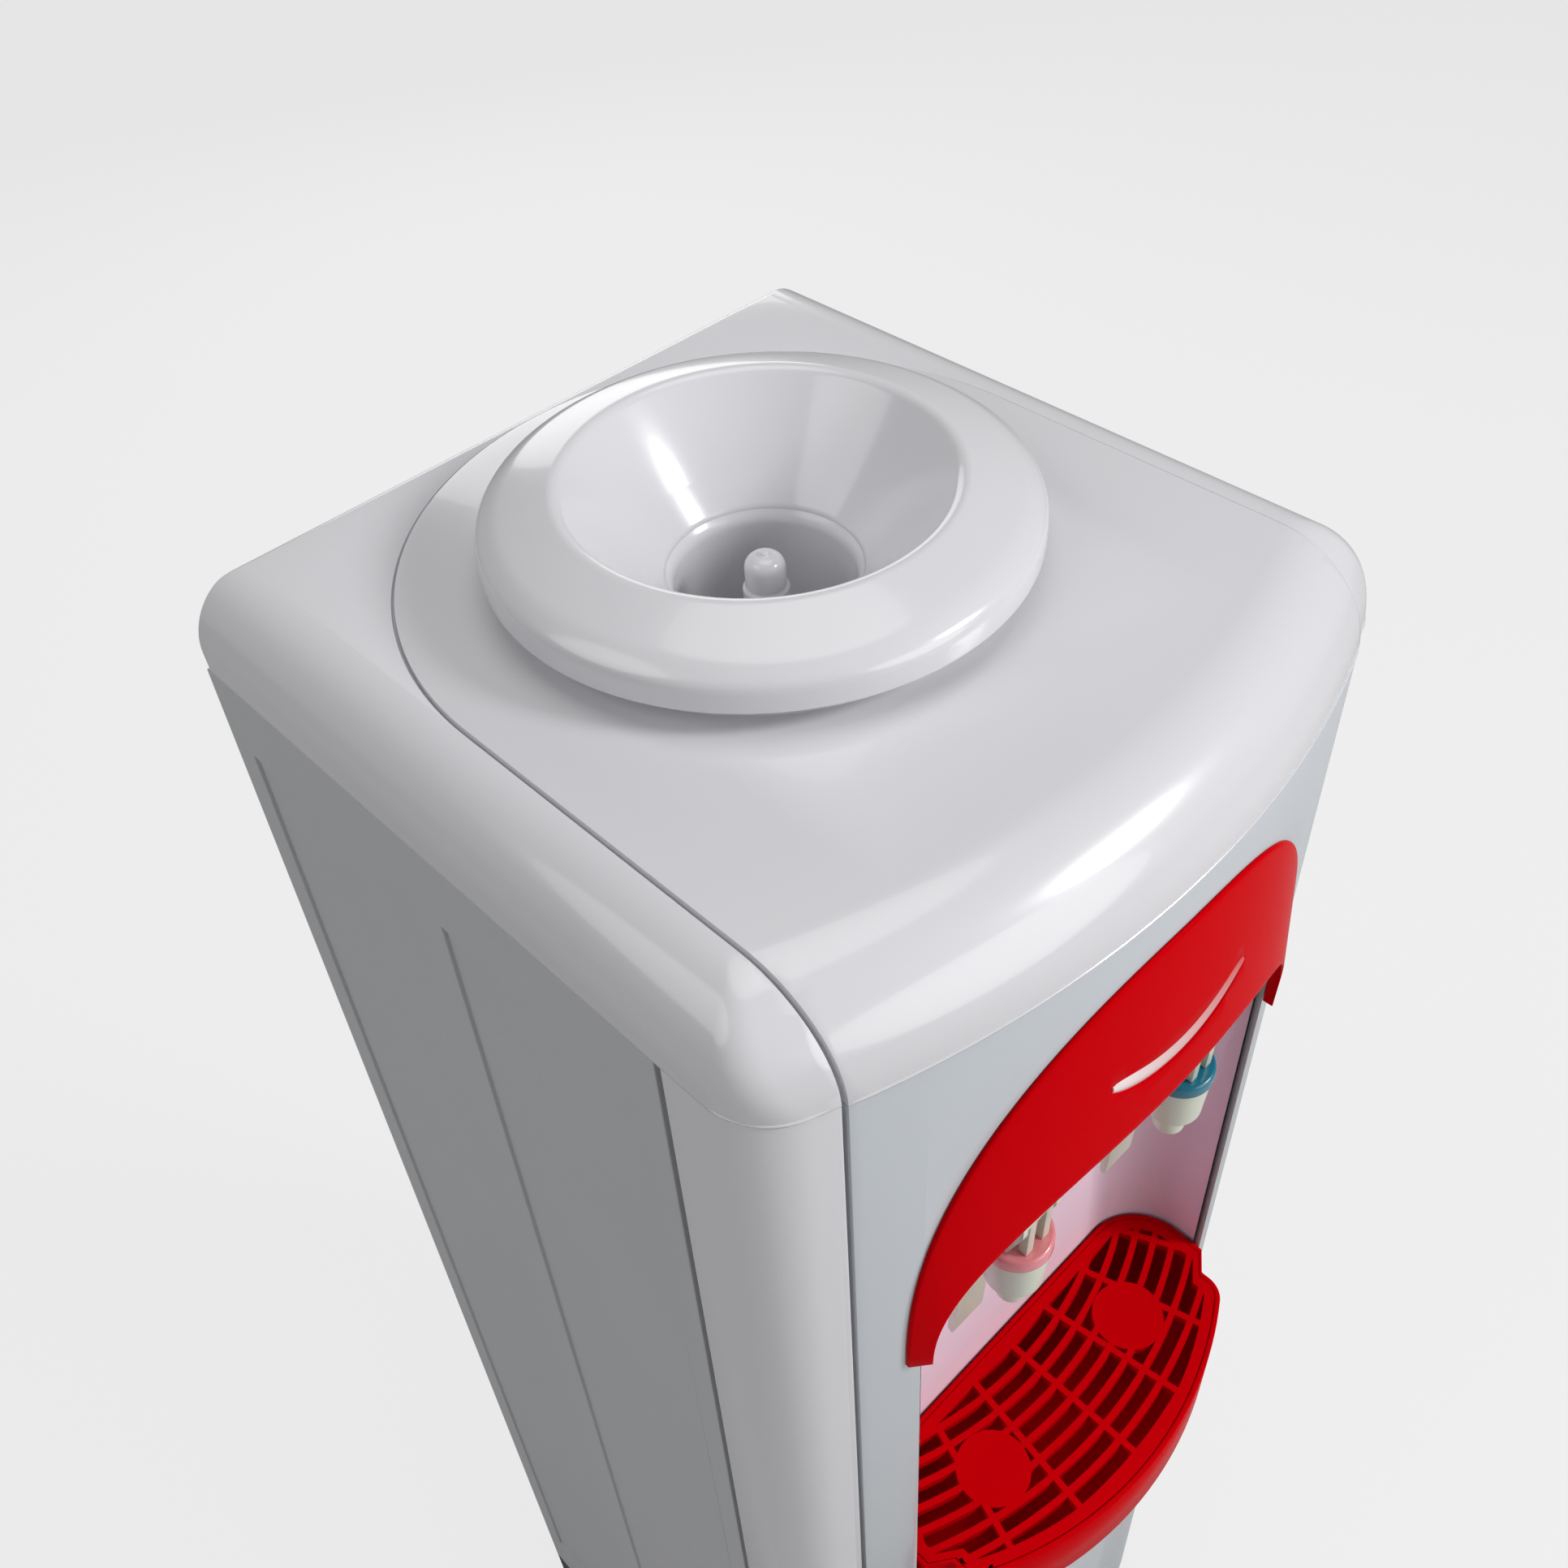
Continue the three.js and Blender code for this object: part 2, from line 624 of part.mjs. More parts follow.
// The form under the cover's skin, grown or shrunk.
function coverForm(grow, low) {
  const top = shoulderZ + grow;
  const drawnIn = (radius, z) => {
    const up = Math.max(0, z - top + radius);
    return radius - Math.sqrt(Math.max(0, radius ** 2 - up ** 2));
  };
  const heights = [low];
  for (let i = 0; i <= cover.steps; i++) {
    const turn = (Math.PI * i) / cover.steps / 2;
    heights.push(top - cover.frontRound * (1 - Math.sin(turn)));
  }
  const levels = heights.filter((z, i) => i === 0 || z > low).map((z) => {
    const up = Math.max(0, z - top + cover.frontRound) / cover.frontRound;
    return {
      z,
      points: planOutline({
        side: drawnIn(cover.sideRound, z) - grow,
        front: drawnIn(cover.frontRound, z) - grow,
        rear: drawnIn(cover.rearRound, z) - grow,
        corner: (body.cornerRadius + grow) * (1 - up) + body.cornerTopRadius * up,
      }),
    };
  });
  return loft(levels);
}

function topCover() {
  const within = (half, form) => form.intersect(slab(
    "z", tombstone(half), seamZ - overrun, body.top + overrun,
  ));
  const low = seamZ - overrun;
  const outer = joined(coverForm(0, seamZ), within(halfMiddle, coverForm(body.raise, seamZ)));
  const inner = joined(
    coverForm(-cover.wall, low),
    within(halfMiddle - cover.wall, coverForm(body.raise - cover.wall, low)),
  );
  const groove = cutBy(
    slab("z", tombstone(grooveX), low, body.top + overrun),
    slab("z", tombstone(halfMiddle), low, body.top + overrun),
    coverForm(-body.grooveDepth, low),
  );
  const hole = bar("z", collar.inner, seamZ, body.top + overrun, [0, seatY], roundSteps);
  const neck = ring(
    collar.inner,
    collar.outer,
    body.top - cover.wall,
    body.top + seat.underRise - gap,
    [0, seatY],
  );
  return cutBy(outer, inner, groove, hole).add(neck);
}

function frontColumn() {
  const low = panTop + gap;
  const high = seamZ - gap;
  const plan = slab("z", planOutline({}), low, high);
  const hollow = slab(
    "z",
    planOutline({ side: column.wall, front: column.wall, corner: body.cornerRadius - column.wall }),
    low,
    high,
  );
  const reach = block([-wallX, middleY - overrun, low], [-grooveX, columnRearY, high]);
  const returnY = bowAt(grooveX, 0) + column.returnDepth;
  const inner = block(
    [-grooveX - column.wall, middleY - overrun, low],
    [-grooveX, returnY, high],
  ).intersect(plan);
  const rear = block(
    [column.wall / 2 - wallX, columnRearY - column.wall, low],
    [column.rearReturn - wallX, columnRearY, high],
  );
  const tongue = block(
    [-grooveX - column.wall / 2, returnY - column.tongue, front.bottom],
    [-halfMiddle - gap, returnY, high],
  );
  return joined(cutBy(plan, hollow).intersect(reach), inner, rear, tongue);
}

function frontPanel() {
  const high = seamZ - gap;
  const halfBow = slab("z", bowBand(halfMiddle, body.raise, body.raise - front.wall), front.bottom, high);
  const edgeY = bowAt(halfMiddle, body.raise) + front.wall / 2;
  const sides = [-1, 1].map((side) => {
    const [a, b] = [side * halfMiddle, side * (halfMiddle - front.sideWall)];
    return block([Math.min(a, b), edgeY, front.bottom], [Math.max(a, b), edgeY + front.returnDepth, high]);
  });
  const bow = bowBand(halfMiddle, body.raise - front.wall / 2, 0).slice(0, bandSteps + 1);
  const backY = bowAt(halfMiddle, body.raise) + front.flangeBehind;
  const flange = slab(
    "z",
    [...bow, [halfMiddle, backY], [-halfMiddle, backY]],
    front.bottom,
    front.bottom + front.wall,
  );
  const arch = [[-nicheHalf, sillZ], [nicheHalf, sillZ]];
  for (let i = 0; i <= fasciaShape.stations; i++) arch.push(archPoint(
    nicheHalf,
    niche.archRise,
    (Math.PI * i) / fasciaShape.stations,
  ));
  const opening = slab("y", arch, middleY - overrun, (middleY + nicheY) / 2);
  const pinHole = bar(
    "z", pin.radius + gap, front.bottom - overrun, front.bottom + overrun, [-hingeX, hingeY],
  );
  return cutBy(joined(halfBow, ...sides, flange), opening, pinHole);
}

function nicheLiner() {
  const high = body.top - niche.ceilingDrop;
  const behind = slab(
    "z",
    planOutline({
      side: halfMiddle - nicheHalf,
      front: front.wall - body.raise + gap,
      corner: body.cornerTopRadius,
    }),
    nicheFloorZ,
    high + niche.wall,
  );
  let made = cutBy(
    slab("z", nicheOutline(niche.wall), nicheFloorZ, high + niche.wall),
    slab("z", nicheOutline(0), sillZ, high),
  );
  made = made.intersect(behind);
  for (const side of [-1, 1])
    made = cutBy(
      made,
      bar("y", tap.pipeRadius + gap, nicheY - niche.wall, nicheY + overrun, [side * tap.spacing, pipeZ]),
    );
  return made;
}

// The fascia's form: its front surface drawn in by an inset, its back off the front panel by so much.
function fasciaForm(inset, back) {
  const near = [];
  const far = [];
  for (let i = 0; i <= fasciaShape.stations; i++) {
    const angle = (Math.PI * i) / fasciaShape.stations;
    const upper = archPoint(fasciaHalf - inset, fascia.rise - inset, angle, fasciaShape.upperPower);
    const lower = archPoint(
      (halfMiddle - fascia.lowerSide) + inset,
      fascia.lowerRise + inset,
      angle,
      fasciaShape.lowerPower,
    );
    const fullness = fasciaShape.tipShare + (1 - fasciaShape.tipShare) * Math.sin(angle);
    const nearRow = [];
    const farRow = [];
    for (let j = 0; j <= fasciaShape.rows; j++) {
      const share = j / fasciaShape.rows;
      const x = upper[0] * (1 - share) + lower[0] * share;
      const z = Math.max(upper[1] * (1 - share) + lower[1] * share, fasciaZ + inset);
      const proud = fascia.topProud + (fascia.lipProud - fascia.topProud) * share * fullness;
      nearRow.push([x, bowAt(x, body.raise) - proud + inset, z]);
      farRow.push([x, bowAt(x, body.raise) + back, z]);
    }
    near.push(nearRow);
    far.push(farRow);
  }
  return between(near, far);
}

function fasciaPiece() {
  const hollow = fasciaForm(fascia.wall, fascia.wall);
  return cutBy(fasciaForm(0, -gap), hollow, slab("y", smile(0), middleY - overrun, middleY + overrun));
}

function indicatorLens() {
  const near = fasciaForm(fascia.wall + gap, fascia.wall);
  const far = fasciaForm(fascia.wall + gap + lens.thick, fascia.wall + overrun);
  const strip = slab("y", smile(lens.overlap), middleY - overrun, bowAt(slot.half, body.raise) - gap);
  return cutBy(near, far).intersect(strip);
}

function dripTray() {
  const low = sillZ + gap;
  const ledge = grilleZ - grille.depth - gap;
  return cutBy(
    slab("z", trayOutline(0), low, grilleZ),
    slab("z", trayOutline(2 * tray.wall), low + tray.wall, grilleZ + overrun),
    slab("z", trayOutline(tray.wall), ledge, grilleZ + overrun),
  );
}

function dripGrille() {
  const [low, high] = [grilleZ - grille.depth, grilleZ];
  const inset = tray.wall + gap;
  const rearBarY = nicheY - tray.play - inset - grille.rim;
  const noseBarY = middleY - tray.reach + inset + grille.rim;
  const pitch = (rearBarY - noseBarY) / (grille.bars - 1);
  const centreY = rearBarY + grille.rearRadius;
  const down = 1.5 * Math.PI;
  let bars = null;
  const add = (piece) => {
    bars = bars ? bars.add(piece) : piece;
  };
  for (let i = 0; i < grille.bars; i++) {
    const radius = grille.rearRadius + pitch * i;
    const swing = Math.asin((trayHalf + grille.rim) / radius);
    const outer = arc([0, centreY], radius + grille.bar / 2, down - swing, down + swing, grille.steps);
    const inner = arc([0, centreY], radius - grille.bar / 2, down + swing, down - swing, grille.steps);
    add(slab("z", [...outer, ...inner], low, high));
  }
  const reach = grille.rearRadius + pitch * grille.bars + grille.rim;
  for (let i = -grille.crosses; i <= grille.crosses; i++) {
    const angle = THREE.MathUtils.degToRad(grille.crossTurn * i);
    const turn = new THREE.Matrix4().makeRotationZ(angle).setPosition(0, centreY, 0);
    const made = new THREE.BoxGeometry(grille.bar, reach / 2, grille.depth).translate(
      0, reach / 4 - reach, (low + high) / 2,
    );
    add(solid(made.applyMatrix4(turn)));
  }
  for (const side of [-1, 1]) add(bar("z", grille.boss, low, high, [side * tap.spacing, tapY], roundSteps));
  const rim = cutBy(
    slab("z", trayOutline(inset), low, high),
    slab("z", trayOutline(inset + grille.rim), low - gap, high + gap),
  );
  return joined(rim, bars.intersect(slab("z", trayOutline(inset), low, high)));
}

// Door and lower cabinet

function cabinetDoor() {
  const half = halfMiddle - door.sideGap;
  const skin = slab("z", bowBand(half, body.raise, body.raise - door.wall), door.bottom, door.top);
  const inner = bowBand(half, body.raise - door.wall / 2, body.raise - door.flange);
  const frame = cutBy(
    slab("z", inner, door.bottom, door.top),
    slab(
      "z",
      bowBand(half - door.wall, body.raise, -door.depth),
      door.bottom + door.wall,
      door.top - door.wall,
    ),
  );
  const hinge = [-hingeX, hingeY];
  const bosses = [
    bar("z", door.bossRadius, door.bottom, door.bottom + door.bossDepth, hinge),
    bar("z", door.bossRadius, door.top - door.bossDepth, door.top, hinge),
  ];
  const gripHigh = door.top - grip.drop;
  const pocketY = bowAt(gripX + grip.half, body.raise) + grip.depth;
  const pocketAt = (grow, nearY) =>
    block(
      [gripX - grip.half - grow, nearY, gripHigh - grip.height - grow],
      [Math.min(gripX + grip.half + grow, half), pocketY + grow, gripHigh + grow],
    );
  const made = joined(
    skin,
    frame,
    ...bosses,
    pocketAt(door.wall, bowAt(gripX - grip.half, body.raise) + door.wall / 2),
  );
  const bore = pin.radius + gap;
  return cutBy(
    made,
    pocketAt(0, middleY - overrun),
    bar("z", bore, door.bottom - overrun, door.bottom + pin.engage + gap, hinge),
    bar("z", bore, door.top - pin.engage - gap, door.top + overrun, hinge),
  );
}

const lowerPin = () => bar(
  "z",
  pin.radius,
  panTop - pin.sink + gap,
  door.bottom + pin.engage,
  [-hingeX, hingeY],
);

function upperPin() {
  const seatZ = front.bottom + front.wall + gap;
  const hinge = [-hingeX, hingeY];
  return joined(
    bar("z", pin.radius, door.top - pin.engage, seatZ + pin.head, hinge),
    bar("z", pin.headRadius, seatZ, seatZ + pin.head, hinge),
  );
}

function cabinetLiner() {
  const low = panTop + pan.ribRise;
  const high = shelf.lower - gap;
  return cutBy(
    block([-boxHalf, boxNearY, low], [boxHalf, boxFarY, high]),
    block(
      [box.wall - boxHalf, boxNearY - overrun, low + box.wall],
      [boxHalf - box.wall, boxFarY - box.wall, high - box.wall],
    ),
  );
}

function shelfPiece(z, frontSetback, ...holes) {
  const half = wallX - panel.sheet - stamp.depth - gap;
  const near = middleY + frontSetback;
  const far = backInnerY - gap;
  const made = joined(
    block([-half, near, z], [half, far, z + shelf.sheet]),
    block([-half, near, z - shelf.flange], [shelf.sheet - half, far, z + shelf.sheet]),
    block([half - shelf.sheet, near, z - shelf.flange], [half, far, z + shelf.sheet]),
  );
  return cutBy(made, ...holes);
}

// Bottle seat pieces

const lifted = (section) => section.map(([radius, height]) => [radius, body.top + height]);

function bottleSeat() {
  const bore = probe.spigotRadius + gap;
  const outerNeck = seat.neckRadius + seat.wall;
  const under = [
    [bore, -seat.wellDrop - seat.wall],
    [outerNeck, -seat.wellDrop - seat.wall],
    ...seatBack,
    [seat.skirtRadius - seat.skirtWall, -seat.skirtDrop],
    [seat.skirtRadius, -seat.skirtDrop],
    [seat.skirtRadius, seat.underRise],
    [seat.rimRadius - seat.wall, seat.underRise],
    [seat.rimRadius - seat.wall, seat.rimBottom],
    [seat.rimRadius, seat.rimBottom],
  ];
  return turned(
    lifted([...under, ...seatFace, [seat.neckRadius, -seat.wellDrop], [bore, -seat.wellDrop]]),
    [0, seatY],
  );
}

function waterProbe() {
  const floor = gap - seat.wellDrop;
  const neck = probe.radius - probeStep.in;
  const section = [
    [0, floor - seat.wall - probe.spigot],
    [probe.spigotRadius, floor - seat.wall - probe.spigot],
    [probe.spigotRadius, floor],
    [probe.baseRadius, floor],
    [probe.baseRadius, floor + probe.base],
    [probe.radius, floor + probe.base],
    [probe.radius, -probeStep.drop],
    [neck, -probeStep.drop],
    [neck, -probe.topDrop - probe.dome],
    [neck * Math.cos(Math.PI / 4), -probe.topDrop - probe.dome * (1 - Math.sin(Math.PI / 4))],
    [0, -probe.topDrop],
  ];
  const bore = bar(
    "z",
    probe.bore,
    body.top - seat.wellDrop - overrun,
    body.top - probe.windowHigh,
    [0, seatY],
  );
  const [low, high] = [body.top + floor + probe.windowLow, body.top - probe.windowHigh];
  const across = block(
    [-overrun, seatY - probe.window / 2, low],
    [overrun, seatY + probe.window / 2, high],
  );
  const along = block([-probe.window / 2, seatY - overrun, low], [probe.window / 2, seatY + overrun, high]);
  return cutBy(turned(lifted(section), [0, seatY], hubSteps), bore, across, along);
}

function seatGasket() {
  const inner = seat.neckRadius + seat.wall + gap;
  const section = [
    [inner, tankTop - gasket.depth],
    [tank.mouth - gap, tankTop - gasket.depth],
    [tank.mouth - gap, tankTop + gap],
    [tank.mouth + gasket.flange, tankTop + gap],
    [tank.mouth + gasket.flange, tankTop + gap + gasket.flangeHeight],
    [inner, tankTop + gap + gasket.flangeHeight],
  ];
  return turned(section, [0, seatY]);
}

// Tanks

function coldTank() {
  const shoulder = tankTop - tank.neck;
  const wide = shoulder - tank.shoulder / 2;
  const outer = [
    [0, tankLow],
    [tankRadius, tankLow],
    [tankRadius, wide],
    [tank.mouth + tank.wall, shoulder],
    [tank.mouth + tank.wall, tankTop],
  ];
  const inner = [
    [tank.mouth, tankTop],
    [tank.mouth, shoulder - tank.wall],
    [tankRadius - tank.wall, wide - tank.wall],
    [tankRadius - tank.wall, tankLow + tank.wall],
    [0, tankLow + tank.wall],
  ];
  const outletZ = tankLow + tank.outletRise;
  const reachY = seatY - foamRadius;
  const outlet = bar(
    "y",
    stub.radius,
    reachY,
    seatY - tankRadius * stub.rootShare,
    [tank.outletX, outletZ],
  );
  const feed = bar(
    "z",
    stub.radius,
    upperShelfZ - stub.length,
    tankLow + tank.wall / 2,
    [tank.feedX, seatY],
  );
  const shell = joined(turned([...outer, ...inner], [0, seatY]), outlet, feed);
  return cutBy(
    shell,
    bar("y", tap.pipeBore, reachY - gap, seatY, [tank.outletX, outletZ]),
    bar("z", tap.pipeBore, upperShelfZ - overrun, tankLow + tank.wall + gap, [tank.feedX, seatY]),
  );
}

function coldFoam() {
  const high = tankTop - foam.rimDrop - tank.shoulder;
  const section = [
    [0, foamLow],
    [foamRadius, foamLow],
    [foamRadius, high],
    [tankRadius + gap, high],
    [tankRadius + gap, tankLow - gap],
    [0, tankLow - gap],
  ];
  const window = cooler.half + gap;
  return cutBy(
    turned(section, [0, seatY]),
    block([-window, seatY, cooler.z - window], [window, seatY + overrun, cooler.z + window]),
    bar("y", stub.radius + gap, seatY - overrun, seatY, [tank.outletX, tankLow + tank.outletRise]),
    bar("z", stub.radius + gap, foamLow - gap, tankLow, [tank.feedX, seatY]),
  );
}

function bafflePiece() {
  const z = body.top - baffle.drop;
  const foot = tankLow + tank.wall + gap;
  let made = joined(
    ring(baffle.tube - baffle.tubeWall, baffleRadius, z, z + baffle.thick, [0, seatY]),
    ring(baffle.tube - baffle.tubeWall, baffle.tube, foot, z + baffle.thick, [0, seatY]),
  );
  for (let i = 0; i < baffle.holes; i++) {
    const angle = (2 * Math.PI * i) / baffle.holes;
    const reach = baffleRadius * baffle.holeRingShare;
    const spot = [reach * Math.cos(angle), seatY + reach * Math.sin(angle)];
    made = cutBy(made, bar("z", baffle.holeRadius, z - gap, z + baffle.thick + gap, spot));
  }
  return cutBy(
    made,
    block(
      [-overrun, seatY - baffle.notch / 2, foot - gap],
      [overrun, seatY + baffle.notch / 2, foot + baffle.notch],
    ),
  );
}

// Cooling chain behind the cold tank, front to rear
const blockEndY = seatY + tankRadius + cooler.blockLength;
const sinkY = blockEndY + gap + cooler.thick + gap;
const fanY = backInnerY - sink.rearRoom - fan.depth;
const finEndY = fanY - gap;

function coldBlock() {
  const made = block(
    [-cooler.half, seatY + tankRadius * cooler.rootShare, cooler.z - cooler.half],
    [cooler.half, blockEndY, cooler.z + cooler.half],
  );
  return cutBy(made, bar("z", tankRadius + gap, tankLow, tankTop, [0, seatY], roundSteps));
}

const coolingModule = () =>
  block(
    [-cooler.half, blockEndY + gap, cooler.z - cooler.half],
    [cooler.half, blockEndY + gap + cooler.thick, cooler.z + cooler.half],
  );

function heatSink() {
  let made = block(
    [-sink.half, sinkY, cooler.z - sink.half],
    [sink.half, sinkY + sink.base, cooler.z + sink.half],
  );
  for (let i = 0; i < sink.fins; i++) {
    const x = -sink.half + ((2 * sink.half - sink.fin) * i) / (sink.fins - 1);
    made = made.add(block(
      [x, sinkY + sink.base / 2, cooler.z - sink.half],
      [x + sink.fin, finEndY, cooler.z + sink.half],
    ));
  }
  return made;
}

function fanFrame() {
  const high = fanY + fan.depth;
  const hoop = cutBy(
    block([-fan.half, fanY, cooler.z - fan.half], [fan.half, high, cooler.z + fan.half]),
    bar("y", fan.bore, fanY - gap, high + gap, [0, cooler.z], roundSteps),
  );
  const strut = fan.strut / 2;
  return joined(
    hoop,
    block(
      [gap - fan.half, fanY, cooler.z - strut],
      [fan.half - gap, fanY + fan.spiderDepth, cooler.z + strut],
    ),
    block(
      [-strut, fanY, cooler.z - fan.half + gap],
      [strut, fanY + fan.spiderDepth, cooler.z + fan.half - gap],
    ),
    bar("y", fan.post, fanY, fanY + fan.spiderDepth + fan.hubDepth - fan.hubSkin, [0, cooler.z]),
  );
}

function fanRotor() {
  const near = fanY + fan.spiderDepth + gap;
  let made = bar("y", fan.hub, near, near + fan.hubDepth, [0, cooler.z], hubSteps);
  for (let i = 0; i < fan.blades; i++) {
    const length = fan.blade - fan.hub / 2;
    const blade = new THREE.BoxGeometry(fan.bladeWidth, fan.bladeThick, length).rotateZ(fan.bladeTurn);
    blade.translate(0, 0, fan.blade - length / 2).rotateY((2 * Math.PI * i) / fan.blades);
    made = made.add(solid(blade.translate(0, near + fan.hubDepth / 2, cooler.z)));
  }
  return cutBy(
    made,
    bar("y", fan.post + gap, fanY, near + fan.hubDepth - fan.hubSkin + gap, [0, cooler.z]),
  );
}

function hotTank() {
  const form = (inset) => {
    const radius = hot.radius - inset;
    const [low, high] = [hotLow + inset, hotTop - inset];
    return turned(
      [
        [0, low],
        [radius - hot.shoulder, low],
        [radius, low + hot.shoulder],
        [radius, high - hot.shoulder],
        [radius - hot.shoulder, high],
        [0, high],
      ],
      [hot.axisX, hotY],
    );
  };
  const [outX, outY] = [hot.axisX + hot.outletX, hotY + hot.outletY];
  const feedZ = hotLow + hot.feedRise;
  const drainZ = hotLow + hot.drainRise;
  const feedX = hot.axisX + hot.radius + band.wall + jacket.wall + stub.length;
  const inX = hot.axisX + hot.radius - hot.root;
  const outer = joined(
    form(0),
    bar("z", stub.radius, hotTop - hot.wall, hotTop + stub.length, [outX, outY]),
    bar("x", stub.radius, inX, feedX, [hotY, feedZ]),
    bar("y", hot.drainRadius, hotY + hot.radius - hot.root, backFaceY, [hot.axisX, drainZ]),
  );
  return cutBy(
    outer,
    form(hot.wall),
    bar("z", tap.pipeBore, hotTop - hot.root, hotTop + overrun, [outX, outY]),
    bar("x", tap.pipeBore, inX - hot.wall, feedX + gap, [hotY, feedZ]),
    bar("y", hot.drainBore, hotY + hot.radius - hot.root - hot.wall, backFaceY + gap, [hot.axisX, drainZ]),
  );
}

const heaterBand = () =>
  ring(
    hot.radius + gap,
    hot.radius + gap + band.wall,
    hotLow + band.rise,
    hotLow + band.rise + band.height,
    [hot.axisX, hotY],
  );

function hotFoam() {
  const inner = hot.radius + gap + band.wall + jacket.play;
  const low = lowerShelfTop + gap;
  const floor = low + jacket.floor;
  const section = [
    [0, low],
    [inner + jacket.wall, low],
    [inner + jacket.wall, hotTop],
    [inner, hotTop],
    [inner, floor],
    [0, floor],
  ];
  const far = hot.axisX + overrun;
  return cutBy(
    turned(section, [hot.axisX, hotY]),
    bar("x", stub.radius + gap, hot.axisX, far, [hotY, hotLow + hot.feedRise]),
    bar("y", hot.drainRadius + gap, hotY, hotY + overrun, [hot.axisX, hotLow + hot.drainRise]),
  );
}

function drainPlug() {
  const spot = [hot.axisX, hotLow + hot.drainRise];
  return joined(
    bar("y", plug.radius, rearY, rearY + plug.head, spot, roundSteps),
    bar("y", hot.drainBore - gap, rearY - plug.shank, rearY + plug.head / 2, spot),
  );
}

// Hoses

// The straight end of a hose over its stub, running along an axis from its mouth.
function hoseEnd(mouth, axis, sense, over) {
  const runs = [0, over, over * hose.leadShare];
  return runs.map((run) => mouth.map((value, i) => (i === axis ? value + run * sense : value)));
}

function feedHose() {
  const top = [tank.feedX, seatY, upperShelfZ - stub.length + stub.overlap];
  const side = hot.axisX + hot.radius + band.wall + jacket.wall + stub.length - stub.overlap;
  const low = [side, hotY, hotLow + hot.feedRise];
  const bulge = tank.feedX + feedRoute.out;
  const points = [
    ...hoseEnd(top, 2, -1, stub.overlap + hose.wall),
    [(tank.feedX + bulge) / 2, (seatY + hotY) / 2, top[2] - feedRoute.bend],
    [bulge, hotY, top[2] - feedRoute.drop],
    [bulge, hotY, low[2] + feedRoute.rise],
    [bulge - hoseOuter / 2, hotY, low[2] + hoseOuter],
    ...hoseEnd(low, 0, 1, stub.overlap + hose.wall).reverse(),
  ];
  return tube(points, hoseOuter, hoseBore, hose.steps * 2);
}

const tapTailY = pipeEndY + stub.length;

function coldHose() {
  const over = stub.overlap / 2;
  const from = [tank.outletX, seatY - foamRadius + over, tankLow + tank.outletRise];
  const to = [tap.spacing, tapTailY - over, pipeZ];
  return tube(
    [...hoseEnd(from, 1, -1, over + hose.wall), ...hoseEnd(to, 1, 1, over + hose.wall).reverse()],
    hoseOuter,
    hoseBore,
  );
}

function hotHose() {
  const over = stub.overlap / 2;
  const from = [hot.axisX + hot.outletX, hotY + hot.outletY, hotTop + stub.length - over];
  const to = [-tap.spacing, tapTailY - over, pipeZ];
  const points = [
    ...hoseEnd(from, 2, 1, over + hose.wall),
    [(from[0] + to[0]) / 2, (from[1] + to[1]) / 2, (from[2] + to[2]) / 2 - hoseOuter],
    [to[0], to[1] + hotRoute.back, pipeZ - hotRoute.sag],
    ...hoseEnd(to, 1, 1, over + hose.wall).reverse(),
  ];
  return tube(points, hoseOuter, hoseBore, hose.steps * 2);
}

// Taps, each about its own axis

function tapBody(x) {
  const nozzleLow = tapLow - tap.nozzle;
  const made = joined(
    bar("z", tap.radius, tapLow, tapTop, [x, tapY], tapSteps),
    bar("z", tap.nozzleRadius, nozzleLow, tapLow + tap.floor / 2, [x, tapY], nozzleSteps),
    bar("y", tap.pipeRadius, tapY + tap.radius / 2, pipeEndY, [x, pipeZ]),
    bar("y", tap.flangeRadius, nicheY - gap - tap.flange, nicheY - gap, [x, pipeZ], hubSteps),
    bar("y", stub.radius, pipeEndY - gap, tapTailY, [x, pipeZ]),
  );
  return cutBy(
    made,
    bar("z", tap.chamberRadius, tapLow + tap.floor, tapTop + overrun, [x, tapY], tapSteps),
    bar("z", tap.nozzleBore, nozzleLow - gap, tapLow + tap.floor + gap, [x, tapY]),
    bar("y", tap.pipeBore, tapY, tapTailY + gap, [x, pipeZ]),
  );
}

function tapCap(x) {
  return cutBy(
    bar("z", cap.radius, tapTop + gap, capTop, [x, tapY], tapSteps),
    bar("z", tap.chamberRadius, tapTop, capTop - cap.roof, [x, tapY], tapSteps),
    bar("z", cap.bore, tapTop, capTop + gap, [x, tapY]),
  );
}

function tapPlunger(x) {
  const seal = tapLow + tap.floor + gap;
  const made = joined(
    bar("z", plunger.seal, seal, seal + plunger.sealHeight, [x, tapY], hubSteps),
    bar("z", plunger.stem, seal, capTop + plunger.rise, [x, tapY]),
  );
  return cutBy(
    made,
    bar("x", lever.pinRadius + gap, x - overrun, x + overrun, [tapY, capTop + lever.pinRise]),
  );
}

function tapSpring(x) {
  const low = tapLow + tap.floor + gap + plunger.sealHeight + gap + spring.wire;
  const high = capTop - cap.roof - gap - spring.wire;
  const count = spring.curls * spring.curlSteps;
  const points = [];
  for (let i = 0; i <= count; i++) {
    const angle = (2 * Math.PI * i) / spring.curlSteps;
    points.push([
      x + spring.radius * Math.cos(angle),
      tapY + spring.radius * Math.sin(angle),
      low + ((high - low) * i) / count,
    ]);
  }
  return tube(points, spring.wire, 0, count, spring.sides);
}

const leverPin = (x) =>
  bar(
    "x",
    lever.pinRadius,
    x - lever.halfWidth - lever.pinEnd,
    x + lever.halfWidth + lever.pinEnd,
    [tapY, capTop + lever.pinRise],
  );

